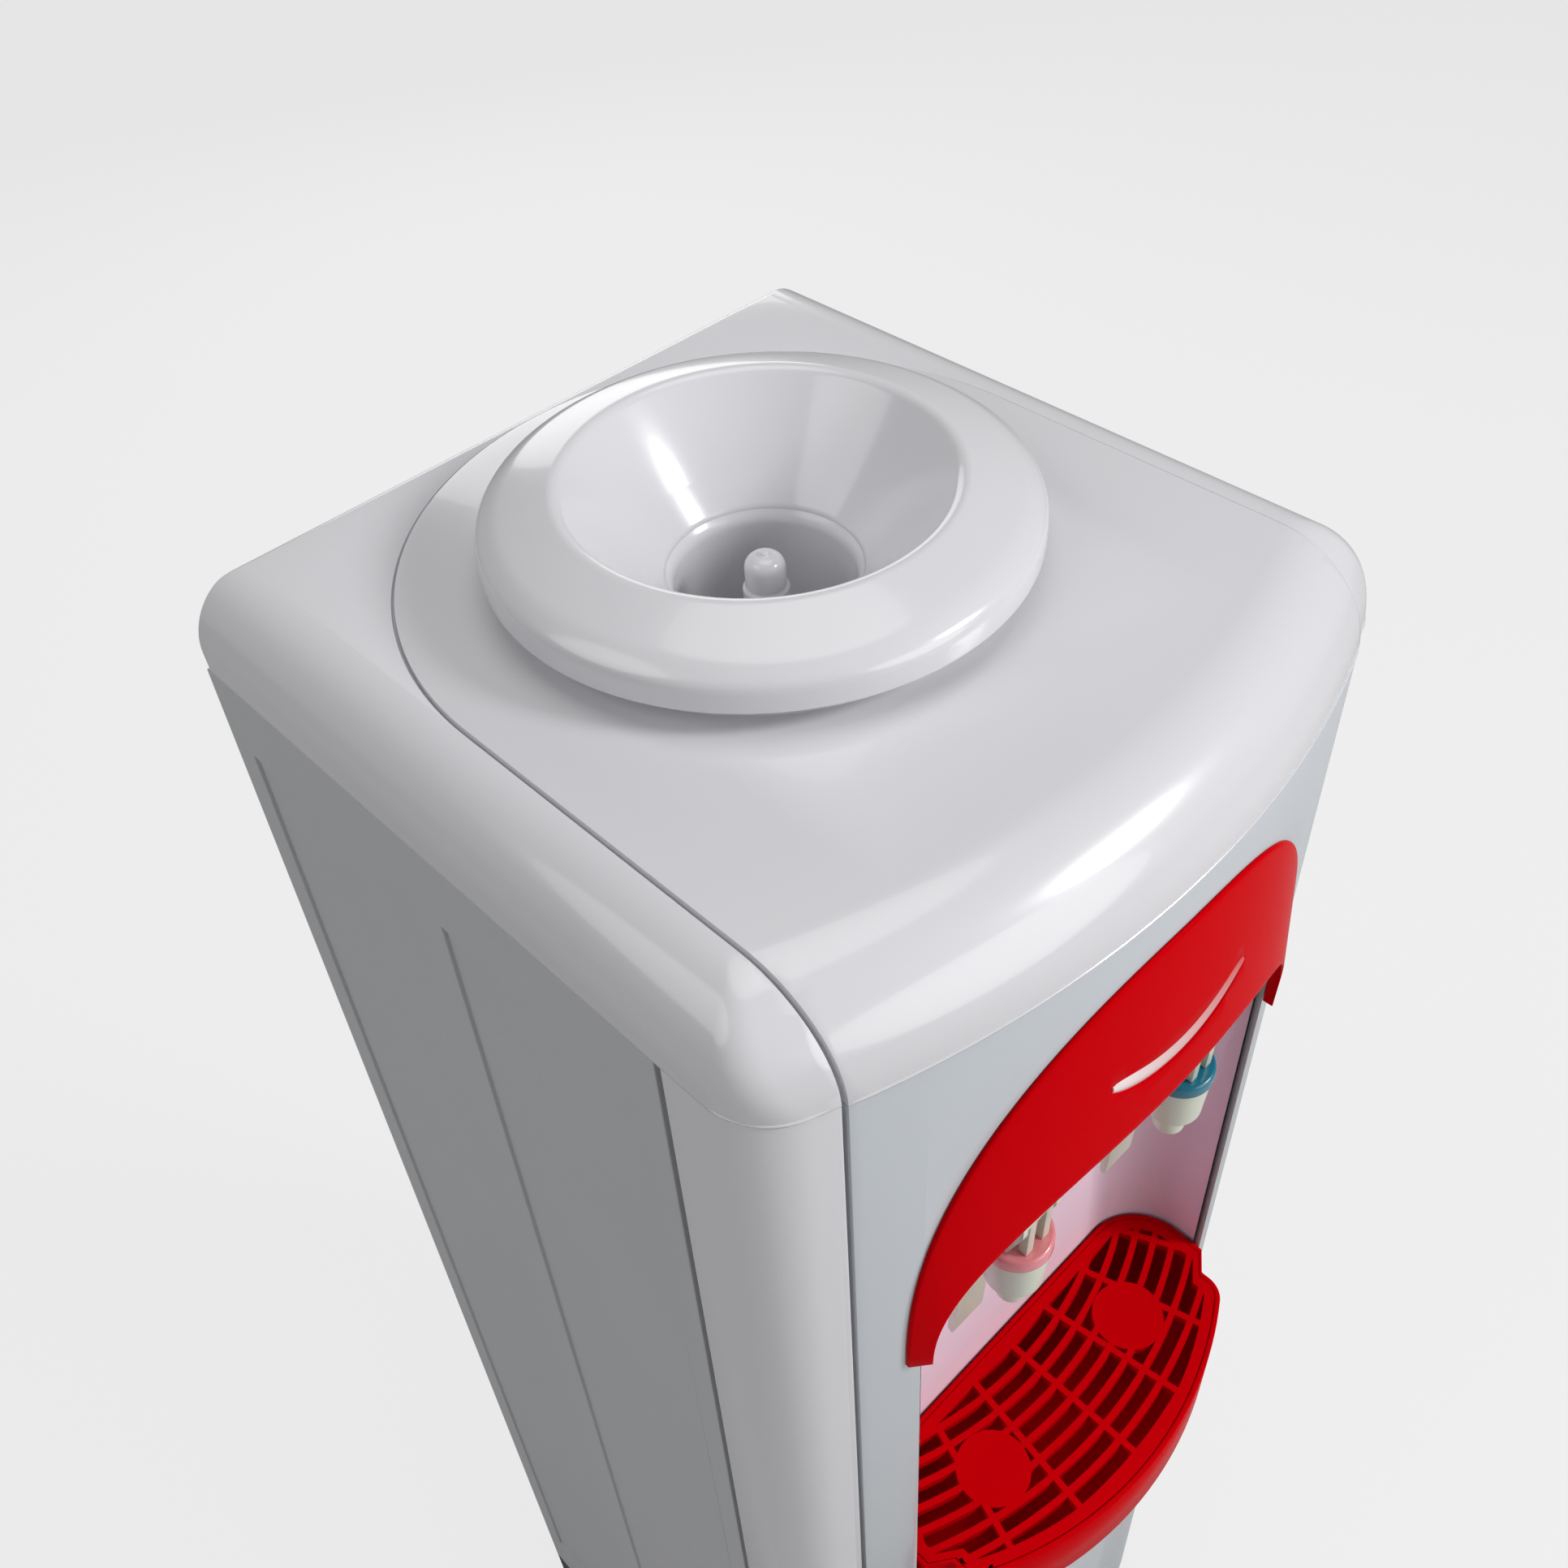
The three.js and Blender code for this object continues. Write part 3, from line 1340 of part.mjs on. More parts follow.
function tapLever(x) {
  const placed = (outline, rise = 0) => outline.map(([y, z]) => [tapY + y, capTop + rise + z]);
  const both = (outline, near, far) => [
    slab("x", placed(outline), x - far, x - near),
    slab("x", placed(outline), x + near, x + far),
  ];
  const [near, far] = [tapY + cheekOutline[0][0], tapY + cheekOutline.at(-1)[0]];
  const plateLow = capTop + lever.rise - lever.plate;
  const top = block([x - lever.halfWidth, near, plateLow], [x + lever.halfWidth, far, capTop + lever.rise]);
  const paddle = slab("x", placed(paddleOutline), x - lever.paddleHalf, x + lever.paddleHalf);
  const play = slab("x", placed(pinSlot, lever.pinRise), x - overrun, x + overrun);
  return cutBy(
    joined(
      ...both(cheekOutline, lever.halfWidth - lever.cheek, lever.halfWidth),
      ...both(toothOutline, lever.toothNear, lever.toothFar),
      top,
      paddle,
    ),
    play,
  );
}

function tapNut(x) {
  const near = nicheY + niche.wall + gap;
  return cutBy(
    bar("y", nut.radius, near, near + nut.thick, [x, pipeZ], nutSides),
    bar("y", tap.pipeRadius + gap, near - gap, near + nut.thick + gap, [x, pipeZ]),
  );
}

// Electrics

const plateBlock = (grow, near, far) =>
  block(
    [plateX - plate.half - grow, near, plate.z - grow],
    [plateX + plate.half + grow, far, plate.z + plate.height + grow],
  );

const plateMid = plate.z + plate.height / 2;
const rockerX = (index) => plateX + rocker.firstX + rocker.pitch * index;

function switchPlate() {
  const shell = plateBlock(0, rearY - plate.depth, rearY);
  const frame = plateBlock(plate.frame, rearY - plate.bezel, rearY);
  const socket = block(
    [plateX + inlet.x - inlet.half - gap, rearY - overrun, plateMid - inlet.height / 2 - gap],
    [plateX + inlet.x + inlet.half + gap, rearY + overrun, plateMid + inlet.height / 2 + gap],
  );
  let made = cutBy(joined(shell, frame), socket);
  for (const index of [0, 1]) {
    const x = rockerX(index);
    const tall = rocker.height / 2 + rocker.crown;
    made = cutBy(
      made,
      block(
        [x - rocker.half - gap, rearY - rocker.depth - rocker.crown, plateMid - tall],
        [x + rocker.half + gap, rearY + gap, plateMid + tall],
      ),
    );
  }
  return made;
}

function powerInlet() {
  const x = plateX + inlet.x;
  const [low, high] = [plateMid - inlet.height / 2, plateMid + inlet.height / 2];
  let made = cutBy(
    block([x - inlet.half, rearY - inlet.depth, low], [x + inlet.half, rearY, high]),
    block(
      [x - inlet.half + inlet.wall, rearY - inlet.depth + inlet.wall, low + inlet.wall],
      [x + inlet.half - inlet.wall, rearY + gap, high - inlet.wall],
    ),
  );
  for (const [side, rise] of [[-1, 0], [0, 1], [1, 0]]) {
    const px = x + side * inlet.pinSpread;
    const pz = plateMid - inlet.pinHeight / 2 + rise * inlet.pinHeight;
    made = made.add(
      block(
        [px - inlet.pinHalf, rearY - inlet.depth + inlet.wall / 2, pz - inlet.pinHeight / 2],
        [px + inlet.pinHalf, rearY - inlet.depth + inlet.pinLength, pz + inlet.pinHeight / 2],
      ),
    );
  }
  return made;
}

function rockerPiece(index) {
  const x = rockerX(index);
  const tall = rocker.height / 2;
  const hingeDepth = rocker.depth / 2;
  const outline = [
    [rearY - hingeDepth, plateMid - tall],
    [rearY + rocker.crown, plateMid - tall],
    [rearY, plateMid],
    [rearY + rocker.crown, plateMid + tall],
    [rearY - hingeDepth, plateMid + tall],
    [rearY - rocker.depth, plateMid],
  ];
  return slab("x", outline, x - rocker.half, x + rocker.half);
}

function powerSupply() {
  const low = lowerShelfTop + gap;
  const far = rearY - supply.setback;
  return block(
    [supplyX - supply.half, far - supply.depth, low],
    [supplyX + supply.half, far, low + supply.height],
  );
}

// Finishes as the photograph shows them, or plain ones where it shows nothing
const finishes = {
  casing: { color: 0xdcdfe3, roughness: 0.28, metalness: 0 },
  panel: { color: 0xb9bfc4, roughness: 0.45, metalness: 0.05 },
  red: { color: 0xc80012, roughness: 0.22, metalness: 0 },
  lens: { color: 0xff8a60, roughness: 0.15, metalness: 0 },
  lilac: { color: 0xcfb6cf, roughness: 0.2, metalness: 0 },
  cream: { color: 0xe6e6d2, roughness: 0.35, metalness: 0 },
  pink: { color: 0xf28f94, roughness: 0.35, metalness: 0 },
  teal: { color: 0x0f7f9b, roughness: 0.35, metalness: 0 },
  dark: { color: 0x2b2d30, roughness: 0.6, metalness: 0 },
  rubber: { color: 0x232323, roughness: 0.85, metalness: 0 },
  silicone: { color: 0xd9dcd8, roughness: 0.5, metalness: 0 },
  steel: { color: 0xb4b7b9, roughness: 0.3, metalness: 1 },
  zinc: { color: 0xa8acae, roughness: 0.5, metalness: 0.9 },
  aluminium: { color: 0xc2c4c6, roughness: 0.4, metalness: 1 },
  foam: { color: 0xe9e9e4, roughness: 0.95, metalness: 0 },
  ceramic: { color: 0xf0eee8, roughness: 0.5, metalness: 0 },
};

const group = new THREE.Group();
group.name = "water_dispenser";

function add(name, piece, finish) {
  const mesh = new THREE.Mesh(geometryOf(piece), new THREE.MeshStandardMaterial(finishes[finish]));
  mesh.name = name;
  group.add(mesh);
}

add("base_pan", basePan(), "dark");
for (const [end, y] of Object.entries(footSpots)) {
  add("foot_" + end + "_left", footPiece(-footX, y), "rubber");
  add("foot_" + end + "_right", footPiece(footX, y), "rubber");
}
add("left_side_panel", sidePanel(), "panel");
add("right_side_panel", mirrored(sidePanel()), "panel");
add("back_panel", backPanel(), "zinc");
add("top_cover", topCover(), "casing");
add("left_column", frontColumn(), "casing");
add("right_column", mirrored(frontColumn()), "casing");
add("front_panel", frontPanel(), "casing");
add("niche_liner", nicheLiner(), "lilac");
add("fascia", fasciaPiece(), "red");
add("indicator_lens", indicatorLens(), "lens");
add("drip_tray", dripTray(), "red");
add("drip_grille", dripGrille(), "red");

add("cabinet_door", cabinetDoor(), "casing");
add("door_pin_lower", lowerPin(), "steel");
add("door_pin_upper", upperPin(), "steel");
add("cabinet_liner", cabinetLiner(), "ceramic");
add("machine_shelf", shelfPiece(shelf.lower, shelf.lowerFront), "zinc");
const feedHole = bar("z", stub.radius + gap, upperShelfZ - gap, foamLow, [tank.feedX, seatY]);
add("tank_shelf", shelfPiece(upperShelfZ, shelf.upperFront, feedHole), "zinc");

add("bottle_seat", bottleSeat(), "casing");
add("water_probe", waterProbe(), "casing");
add("seat_gasket", seatGasket(), "silicone");

add("cold_tank", coldTank(), "steel");
add("cold_tank_foam", coldFoam(), "foam");
add("tank_baffle", bafflePiece(), "ceramic");
add("cold_block", coldBlock(), "aluminium");
add("cooling_module", coolingModule(), "ceramic");
add("heat_sink", heatSink(), "aluminium");
add("fan_frame", fanFrame(), "dark");
add("fan_rotor", fanRotor(), "dark");
add("hot_tank", hotTank(), "steel");
add("hot_tank_foam", hotFoam(), "foam");
add("heater_band", heaterBand(), "zinc");
add("drain_plug", drainPlug(), "rubber");
add("feed_hose", feedHose(), "silicone");
add("cold_hose", coldHose(), "silicone");
add("hot_hose", hotHose(), "silicone");

for (const [kind, x, ringFinish] of [["hot", -tap.spacing, "pink"], ["cold", tap.spacing, "teal"]]) {
  add(kind + "_tap_body", tapBody(x), "cream");
  add(kind + "_tap_ring", tapCap(x), ringFinish);
  add(kind + "_tap_lever", tapLever(x), "cream");
  add(kind + "_lever_pin", leverPin(x), "steel");
  add(kind + "_tap_plunger", tapPlunger(x), "cream");
  add(kind + "_tap_spring", tapSpring(x), "steel");
  add(kind + "_tap_nut", tapNut(x), "dark");
}

add("power_supply", powerSupply(), "dark");
add("switch_plate", switchPlate(), "dark");
add("power_inlet", powerInlet(), "dark");
add("hot_switch", rockerPiece(0), "red");
add("cold_switch", rockerPiece(1), "teal");

export default group;
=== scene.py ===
import json
import math

import bpy
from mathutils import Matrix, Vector

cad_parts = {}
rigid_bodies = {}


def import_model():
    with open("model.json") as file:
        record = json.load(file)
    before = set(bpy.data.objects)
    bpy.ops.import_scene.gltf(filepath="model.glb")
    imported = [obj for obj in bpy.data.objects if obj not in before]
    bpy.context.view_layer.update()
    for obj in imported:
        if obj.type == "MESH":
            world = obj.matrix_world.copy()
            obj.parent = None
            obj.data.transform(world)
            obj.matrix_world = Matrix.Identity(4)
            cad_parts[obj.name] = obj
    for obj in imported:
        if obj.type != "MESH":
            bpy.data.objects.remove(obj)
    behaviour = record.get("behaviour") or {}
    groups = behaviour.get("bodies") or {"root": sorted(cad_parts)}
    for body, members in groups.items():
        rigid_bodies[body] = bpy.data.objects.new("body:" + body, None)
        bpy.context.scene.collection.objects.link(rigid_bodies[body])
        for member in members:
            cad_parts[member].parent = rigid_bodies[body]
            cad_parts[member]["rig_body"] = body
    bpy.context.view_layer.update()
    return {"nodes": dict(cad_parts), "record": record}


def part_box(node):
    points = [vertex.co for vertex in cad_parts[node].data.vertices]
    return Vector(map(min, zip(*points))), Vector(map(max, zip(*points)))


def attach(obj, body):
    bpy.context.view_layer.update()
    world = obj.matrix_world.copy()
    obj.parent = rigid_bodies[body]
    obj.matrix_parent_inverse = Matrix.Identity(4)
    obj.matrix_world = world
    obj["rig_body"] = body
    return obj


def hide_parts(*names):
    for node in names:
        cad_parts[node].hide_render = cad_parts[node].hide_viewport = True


bl_info = {
    "name": "Water dispenser looks",
    "version": (1, 0, 0),
    "blender": (4, 5, 0),
    "location": "View3D > Sidebar > Dispenser",
    "description": "Dresses the packed water dispenser in finer pieces, finishes and studio light",
    "category": "Object",
}

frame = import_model()
nodes = frame["nodes"]
mm = 0.001
overrun = 400 * mm  # how far a cutting shape runs past a piece
weld = 0.004 * mm  # points nearer than this are one
quarter = math.pi / 2
down = 3 * quarter  # the angle that points to the front, seen from above
slot_of = {part["node"]: part["material_slot"] for part in frame["record"]["subparts"]}


# Settings

def length(name, millimetres, text):
    return bpy.props.FloatProperty(
        name=name, description=text, default=millimetres * mm, unit="LENGTH", subtype="DISTANCE", precision=4
    )


def linear(code):
    channels = [int(code[i : i + 2], 16) / 255 for i in (0, 2, 4)]
    return [c / 12.92 if c <= 0.04045 else ((c + 0.055) / 1.055) ** 2.4 for c in channels]


def colour(name, code, text):
    return bpy.props.FloatVectorProperty(
        name=name, description=text, default=linear(code), size=3, min=0, max=1, subtype="COLOR"
    )


class CabinetSizes(bpy.types.PropertyGroup):
    width: length("Width", 310, "Over the two side panels")
    rear: length("Rear", 172, "The rear face, behind the origin")
    bow_centre: length("Bow centre", 241, "Centre of the front bow, behind the origin")
    bow_radius: length("Bow radius", 386.2, "Of the shallow bow of the front columns")
    raised: length("Raise", 0.8, "How far the middle of the top and front stands proud")
    corner: length("Front corner", 26, "Radius of the front corners seen from above")
    corner_top: length("Corner at the top", 6, "The same radius where the corner meets the flat top")
    rear_corner: length("Rear corner", 4, "Radius of the rear corners seen from above")
    top: length("Top", 940, "Height of the raised middle")
    seam: length("Seam", 905, "Height of the seam under the cover")
    side_round: length("Side rounding", 26, "Rounding of the cover's side edges")
    front_round: length("Front rounding", 35, "Rounding of the cover's front edge")
    rear_round: length("Rear rounding", 4, "Rounding of the cover's rear edge")
    cover_wall: length("Cover wall", 3.2, "Thickness of the moulded cover")
    middle_half: length("Half middle", 128, "Half width of the raised middle")
    groove: length("Groove width", 1.3, "The groove beside the raised middle")
    groove_depth: length("Groove depth", 2.4, "Below the cover's skin")
    door_groove: length("Groove beside the door", 2.6, "Wider, so that the door's edge has room to swing")
    door_bevel: length("Bevel beside the door", 2.9, "Depth of the bevel that the open door's face passes")
    skin: length("Skin gap", 0.3, "Air between neighbouring pieces")


class SeatSizes(bpy.types.PropertyGroup):
    axis_y: length("Axis", 38.6, "The bottle's axis, behind the origin")
    rim: length("Rim radius", 97.5, "Outer radius of the bottle seat")
    neck: length("Neck radius", 32.7, "Radius of the well that takes the bottle's neck")
    hole: length("Hole radius", 84.6, "The opening in the cover")
    collar: length("Collar radius", 88, "The collar that carries the seat")
    collar_top: length("Collar top", 957.4, "Height of the collar's upper edge")


class FrontSizes(bpy.types.PropertyGroup):
    panel_low: length("Panel bottom", 474, "Lower edge of the front panel")
    panel_wall: length("Panel wall", 2.8, "Thickness of the front panel")
    niche_half: length("Niche half width", 105, "Half width of the niche")
    niche_back: length("Niche back", -88.4, "The niche's rear wall")
    niche_corner: length("Niche corner", 30, "Radius of the niche's rear corners")
    niche_floor: length("Niche floor", 495, "Underside of the niche's floor")
    niche_top: length("Niche ceiling", 836, "Underside of the niche's ceiling")
    niche_wall: length("Niche wall", 2.5, "Thickness of the niche liner")
    arch_rise: length("Arch rise", 96, "Of the opening over the fascia's tips")
    fascia_low: length("Fascia tips", 735, "Height of the fascia's two tips")
    fascia_half: length("Fascia half width", 111, "Half width over the upper edge")
    fascia_rise: length("Fascia rise", 153, "Of the upper edge over the tips")
    lip_half: length("Lip half width", 104, "Half width over the lower edge")
    lip_rise: length("Lip rise", 71, "Of the lower edge over the tips")
    edge_proud: length("Edge", 1.6, "How far the fascia's upper edge stands proud")
    lip_proud: length("Lip", 8.5, "How far the fascia's lower lip stands proud")
    slot_half: length("Slot half width", 37, "Half width of the smile-shaped slot")
    slot_z: length("Slot height", 831, "Height of the slot's middle")
    slot_sag: length("Slot sag", 9, "How far the slot's ends rise over its middle")
    slot_tall: length("Slot width", 8.5, "The slot from edge to edge")
    slot_deep: length("Slot depth", 3.2, "How far the slot is sunk from the front bow")


class TrayTapSizes(bpy.types.PropertyGroup):
    reach: length("Tray reach", 32, "The tray's nose past the bow of the front")
    half: length("Tray half width", 103, "Half width of the tray in the niche")
    nose_half: length("Nose half width", 93, "Half width of the tray past the step")
    step_y: length("Step", -134, "Where the tray steps in")
    step_run: length("Step run", 7, "Length of the slanting step")
    rear_corner: length("Rear corner", 28, "Radius of the tray's rear corners")
    nose_radius: length("Nose radius", 180, "Bow of the tray's nose")
    nose_corner: length("Nose corner", 12, "Radius of the nose's corners")
    wall: length("Tray wall", 2.4, "Thickness of the tray")
    grille_top: length("Grille top", 536, "Height of the grille's face")
    grille_deep: length("Grille depth", 5, "Thickness of the grille")
    grille_rim: length("Grille rim", 5, "Width of the grille's rim")
    grille_bar: length("Grille bar", 3, "Width of a grille bar")
    bar_radius: length("Bar radius", 181.5, "Radius of the rearmost curved bar")
    boss: length("Boss radius", 17, "The round cup rest under each tap")
    tap_x: length("Tap spacing", 50, "Each tap's axis from the middle")
    tap_y: length("Tap axis", -128.4, "Each tap's axis, before the origin")
    tap_top: length("Tap top", 739, "Upper edge of a tap's body")
    tap_radius: length("Tap radius", 13, "Radius of a tap's body")
    pipe_drop: length("Pipe", 11, "The tap's pipe, below the upper edge of its body")


class FinishColours(bpy.types.PropertyGroup):
    casing: colour("Casing", "dedde1", "Glossy off-white plastic")
    panel: colour("Side panel", "c7c8ca", "Fine-textured grey paint")
    front: colour("Front panel", "c9ced3", "Glossy plastic with a hint of blue")
    red: colour("Red", "d0000a", "Fascia, tray and grille")
    # The lens's pale tone is a painted highlight; the strip fades from it into the red along X.
    lens: colour("Lens", "f8e6e6", "Clear strip over the indicator lamps, at its pale end")
    lilac: colour("Lilac", "efdaea", "Niche liner")
    cream: colour("Cream", "dfe2d2", "Tap bodies and levers")
    pink: colour("Pink", "ef8f95", "Hot tap's ring")
    teal: colour("Teal", "0c7590", "Cold tap's ring")
    dark: colour("Dark", "2a2c2f", "Base, fan and switch plate")
    rubber: colour("Rubber", "1c1c1d", "Feet and plug")
    silicone: colour("Silicone", "d3d6d1", "Hoses and gasket")
    steel: colour("Steel", "b9bbbd", "Tanks, pins and springs")
    zinc: colour("Zinc", "a9adb0", "Plated sheet")
    aluminium: colour("Aluminium", "c6c8ca", "Heat sink")
    foam: colour("Foam", "e6e6df", "Insulation")
    ceramic: colour("Matt white", "e8e6e0", "Cabinet lining and ceramic")


class StudioSettings(bpy.types.PropertyGroup):
    lens: bpy.props.FloatProperty(name="Lens", description="Focal length in mm, 36 mm sensor", default=36.1)
    shift: bpy.props.FloatProperty(name="Shift", description="Vertical shift of the frame", default=-0.0393)
    eye: bpy.props.FloatVectorProperty(
        name="Camera",
        description="Where the camera stands",
        default=(-0.29455, -0.2947, 1.26745),
        subtype="TRANSLATION",
    )
    turn: bpy.props.FloatVectorProperty(
        name="Camera turn",
        description="Turn about X, Y and Z",
        default=tuple(math.radians(a) for a in (47.0973, 2.8574, -44.5031)),
        subtype="EULER",
    )
    world: bpy.props.FloatProperty(name="World", description="Strength of the light around", default=0.15)
    floor: colour("Floor", "c6c6c6", "Plain pale floor")


# Modelling, as by hand in edit mode

def nothing_selected():
    if bpy.context.object and bpy.context.object.mode != "OBJECT":
        bpy.ops.object.mode_set(mode="OBJECT")
    bpy.ops.object.select_all(action="DESELECT")


def only(piece):
    nothing_selected()
    piece.select_set(True)
    bpy.context.view_layer.objects.active = piece
    return piece


def named(piece, name):
    piece.name = name
    piece.data.name = name
    return piece


def edit_all(piece):
    only(piece)
    bpy.ops.object.mode_set(mode="EDIT")
    bpy.ops.mesh.select_all(action="SELECT")


def cleaned(piece, distance=weld):
    """Merges doubles, drops loose edges and points the faces outwards."""
    edit_all(piece)
    bpy.ops.mesh.remove_doubles(threshold=distance)
    bpy.ops.mesh.delete_loose()
    bpy.ops.mesh.select_all(action="SELECT")
    bpy.ops.mesh.normals_make_consistent(inside=False)
    bpy.ops.object.mode_set(mode="OBJECT")
    return piece


def capped(piece):
    """Closes every open rim with a face."""
    edit_all(piece)
    bpy.ops.mesh.remove_doubles(threshold=weld)
    bpy.ops.mesh.fill_holes(sides=0)
    bpy.ops.object.mode_set(mode="OBJECT")
    return cleaned(piece)


def placed_grid(name, columns, rows, place):
    """A grid whose points are placed by two shares, each from 0 to 1."""
    nothing_selected()
    bpy.ops.mesh.primitive_grid_add(x_subdivisions=columns, y_subdivisions=rows, size=1)
    piece = named(bpy.context.object, name)
    for corner in piece.data.vertices:
        corner.co = place(corner.co.x + 0.5, corner.co.y + 0.5)
    return piece


def ring_stack(name, rings):
    """Closed rings of points, one above the other, skinned and capped."""
    rows, columns = len(rings) - 1, len(rings[0])

    def place(u, v):
        return rings[round(v * rows)][round(u * columns) % columns]

    return capped(placed_grid(name, columns, rows, place))


def prism(name, points, low, high, axis="Z"):
    """An outline of pairs, extruded along an axis."""
    nothing_selected()
    bpy.ops.mesh.primitive_circle_add(vertices=len(points), radius=1, fill_type="NGON")
    piece = named(bpy.context.object, name)
    for corner, (a, b) in zip(piece.data.vertices, points):
        corner.co = {"X": (low, a, b), "Y": (a, low, b), "Z": (a, b, low)}[axis]
    way = Vector((axis == "X", axis == "Y", axis == "Z")) * (high - low)
    edit_all(piece)
    bpy.ops.mesh.extrude_region_move(TRANSFORM_OT_translate={"value": way})
    return cleaned(piece)


def block(name, low, high):
    """A box between two corners."""
    nothing_selected()
    bpy.ops.mesh.primitive_cube_add(size=1)
    piece = named(bpy.context.object, name)
    for corner in piece.data.vertices:
        corner.co = [high[i] if corner.co[i] > 0 else low[i] for i in range(3)]
    return piece


def rod(name, axis, radius, low, high, centre, sides=48):
    """A round bar along an axis; the centre is given on the other two axes."""
    points = [(centre[0] + radius * math.cos(a), centre[1] + radius * math.sin(a)) for a in turns(sides)]
    return prism(name, points, low, high, axis)


def turns(count):
    return [2 * math.pi * i / count for i in range(count)]


def turned(name, section, centre, steps=96):
    """A closed half section of (radius, height), spun about an upright line."""
    nothing_selected()
    bpy.ops.mesh.primitive_circle_add(vertices=len(section), radius=1, fill_type="NOTHING")
    piece = named(bpy.context.object, name)
    for corner, (radius, height) in zip(piece.data.vertices, section):
        corner.co = (centre[0] + radius, centre[1], height)
    edit_all(piece)
    bpy.ops.mesh.spin(steps=steps, angle=2 * math.pi, center=(centre[0], centre[1], 0), axis=(0, 0, 1))
    return cleaned(piece)


def applied(piece, kind, **values):
    """Adds a modifier, sets its values and applies it."""
    step = piece.modifiers.new(kind, kind)
    for setting, value in values.items():
        setattr(step, setting, value)
    only(piece)
    bpy.ops.object.modifier_apply(modifier=step.name)
    return piece


def shaped_by(piece, tool, way="DIFFERENCE"):
    """Cuts, joins or crosses a piece with another shape, which is used up."""
    applied(piece, "BOOLEAN", operation=way, solver="EXACT", object=tool)
    bpy.data.objects.remove(tool)
    return piece


def joined(name, *pieces):
    nothing_selected()
    for piece in pieces:
        piece.select_set(True)
    bpy.context.view_layer.objects.active = pieces[0]
    bpy.ops.object.join()
    return named(bpy.context.object, name)


def softened(piece, width, segments=2, angle=50):
    """Rounds every edge sharper than an angle."""
    return applied(
        piece,
        "BEVEL",
        width=width,
        segments=segments,
        limit_method="ANGLE",
        angle_limit=math.radians(angle),
        use_clamp_overlap=True,
        miter_outer="MITER_ARC",
    )


def cad_copy(node, name):
    """A merged copy of a CAD node's mesh, with its flat faces made whole."""
    piece = bpy.data.objects.new(name, nodes[node].data.copy())
    bpy.context.scene.collection.objects.link(piece)
    named(piece, name)
    edit_all(piece)
    bpy.ops.mesh.remove_doubles(threshold=weld)
    bpy.ops.mesh.dissolve_limited(angle_limit=math.radians(0.6))
    bpy.ops.object.mode_set(mode="OBJECT")
    return piece


def mirrored_copy(piece, name):
    """The same piece on the other side, with its own mesh."""
    other = bpy.data.objects.new(name, piece.data.copy())
    bpy.context.scene.collection.objects.link(other)
    named(other, name)
    for corner in other.data.vertices:
        corner.co.x = -corner.co.x
    edit_all(other)
    bpy.ops.mesh.flip_normals()
    bpy.ops.object.mode_set(mode="OBJECT")
    return other


def arc(centre, radius, start, end, steps):
    points = []
    for i in range(steps + 1):
        angle = start + (end - start) * i / steps
        points.append((centre[0] + radius * math.cos(angle), centre[1] + radius * math.sin(angle)))
    return points


def rounded(corners, steps=6):
    """An outline of (a, b, radius) corners, each turned into an arc."""
    outline = []
    for i, (a, b, radius) in enumerate(corners):
        here = Vector((a, b))
        before = (Vector(corners[i - 1][:2]) - here).normalized()
        after = (Vector(corners[(i + 1) % len(corners)][:2]) - here).normalized()
        half = before.angle(after) / 2
        if radius <= 0 or half > 0.499 * math.pi:
            outline.append((a, b))
            continue
        centre = here + (before + after).normalized() * radius / math.sin(half)
        first = here + before * radius / math.tan(half) - centre
        last = here + after * radius / math.tan(half) - centre
        start = math.atan2(first.y, first.x)
        sweep = (math.atan2(last.y, last.x) - start + math.pi) % (2 * math.pi) - math.pi
        outline += arc(centre, radius, start, start + sweep, steps)
    return outline


def section(base, corners, steps=6):
    """A half section of (radius, height over the base, fillet) corners in millimetres."""
    return rounded([(radius * mm, base + rise * mm, fillet * mm) for radius, rise, fillet in corners], steps)


def finish_called(name):
    """The material made here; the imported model's own materials have the plain names."""
    return bpy.data.materials[name + "_finish"]


def dressed(piece, finish, *replaced, angle=35):
    """Shades a finished piece, gives it its finish and lets it stand for its CAD nodes."""
    only(piece)
    bpy.ops.object.shade_smooth_by_angle(angle=math.radians(angle))
    piece.data.materials.clear()
    piece.data.materials.append(finish_called(finish))
    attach(piece, nodes[replaced[0]]["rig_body"])
    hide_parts(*replaced)
    return piece


# Shapes that several pieces share

def cabinet():
    return bpy.context.scene.cabinet_sizes


def seat_axis():
    return (0, bpy.context.scene.seat_sizes.axis_y)


def bow_at(x, proud=0):
    """The front bow's surface at a distance from the middle."""
    radius = cabinet().bow_radius + proud
    return cabinet().bow_centre - math.sqrt(radius**2 - x**2)


def swing_of(x, radius):
    return math.asin(x / radius)


def plan(side, front, rear, corner, rear_corner):
    """The cabinet from above: down the left side, along the bow and back up the right side."""
    c = cabinet()
    half = c.width / 2 - side
    radius = c.bow_radius - front
    corner_x = half - corner
    corner_y = c.bow_centre - math.sqrt((radius - corner) ** 2 - corner_x**2)
    swing = swing_of(corner_x, radius - corner)
    rear_x, rear_y = half - rear_corner, c.rear - rear - rear_corner
    return (
        arc((-rear_x, rear_y), rear_corner, quarter, 2 * quarter, 4)
        + arc((-corner_x, corner_y), corner, 2 * quarter, down - swing, 12)
        + arc((0, c.bow_centre), radius, down - swing, down + swing, 48)[1:-1]
        + arc((corner_x, corner_y), corner, down + swing, 4 * quarter, 12)
        + arc((rear_x, rear_y), rear_corner, 0, quarter, 4)
    )


def tombstone(half, steps=96):
    """Straight sides and a round back about the bottle's axis."""
    return [(-half, -overrun), (half, -overrun)] + arc(seat_axis(), half, 0, 2 * quarter, steps)


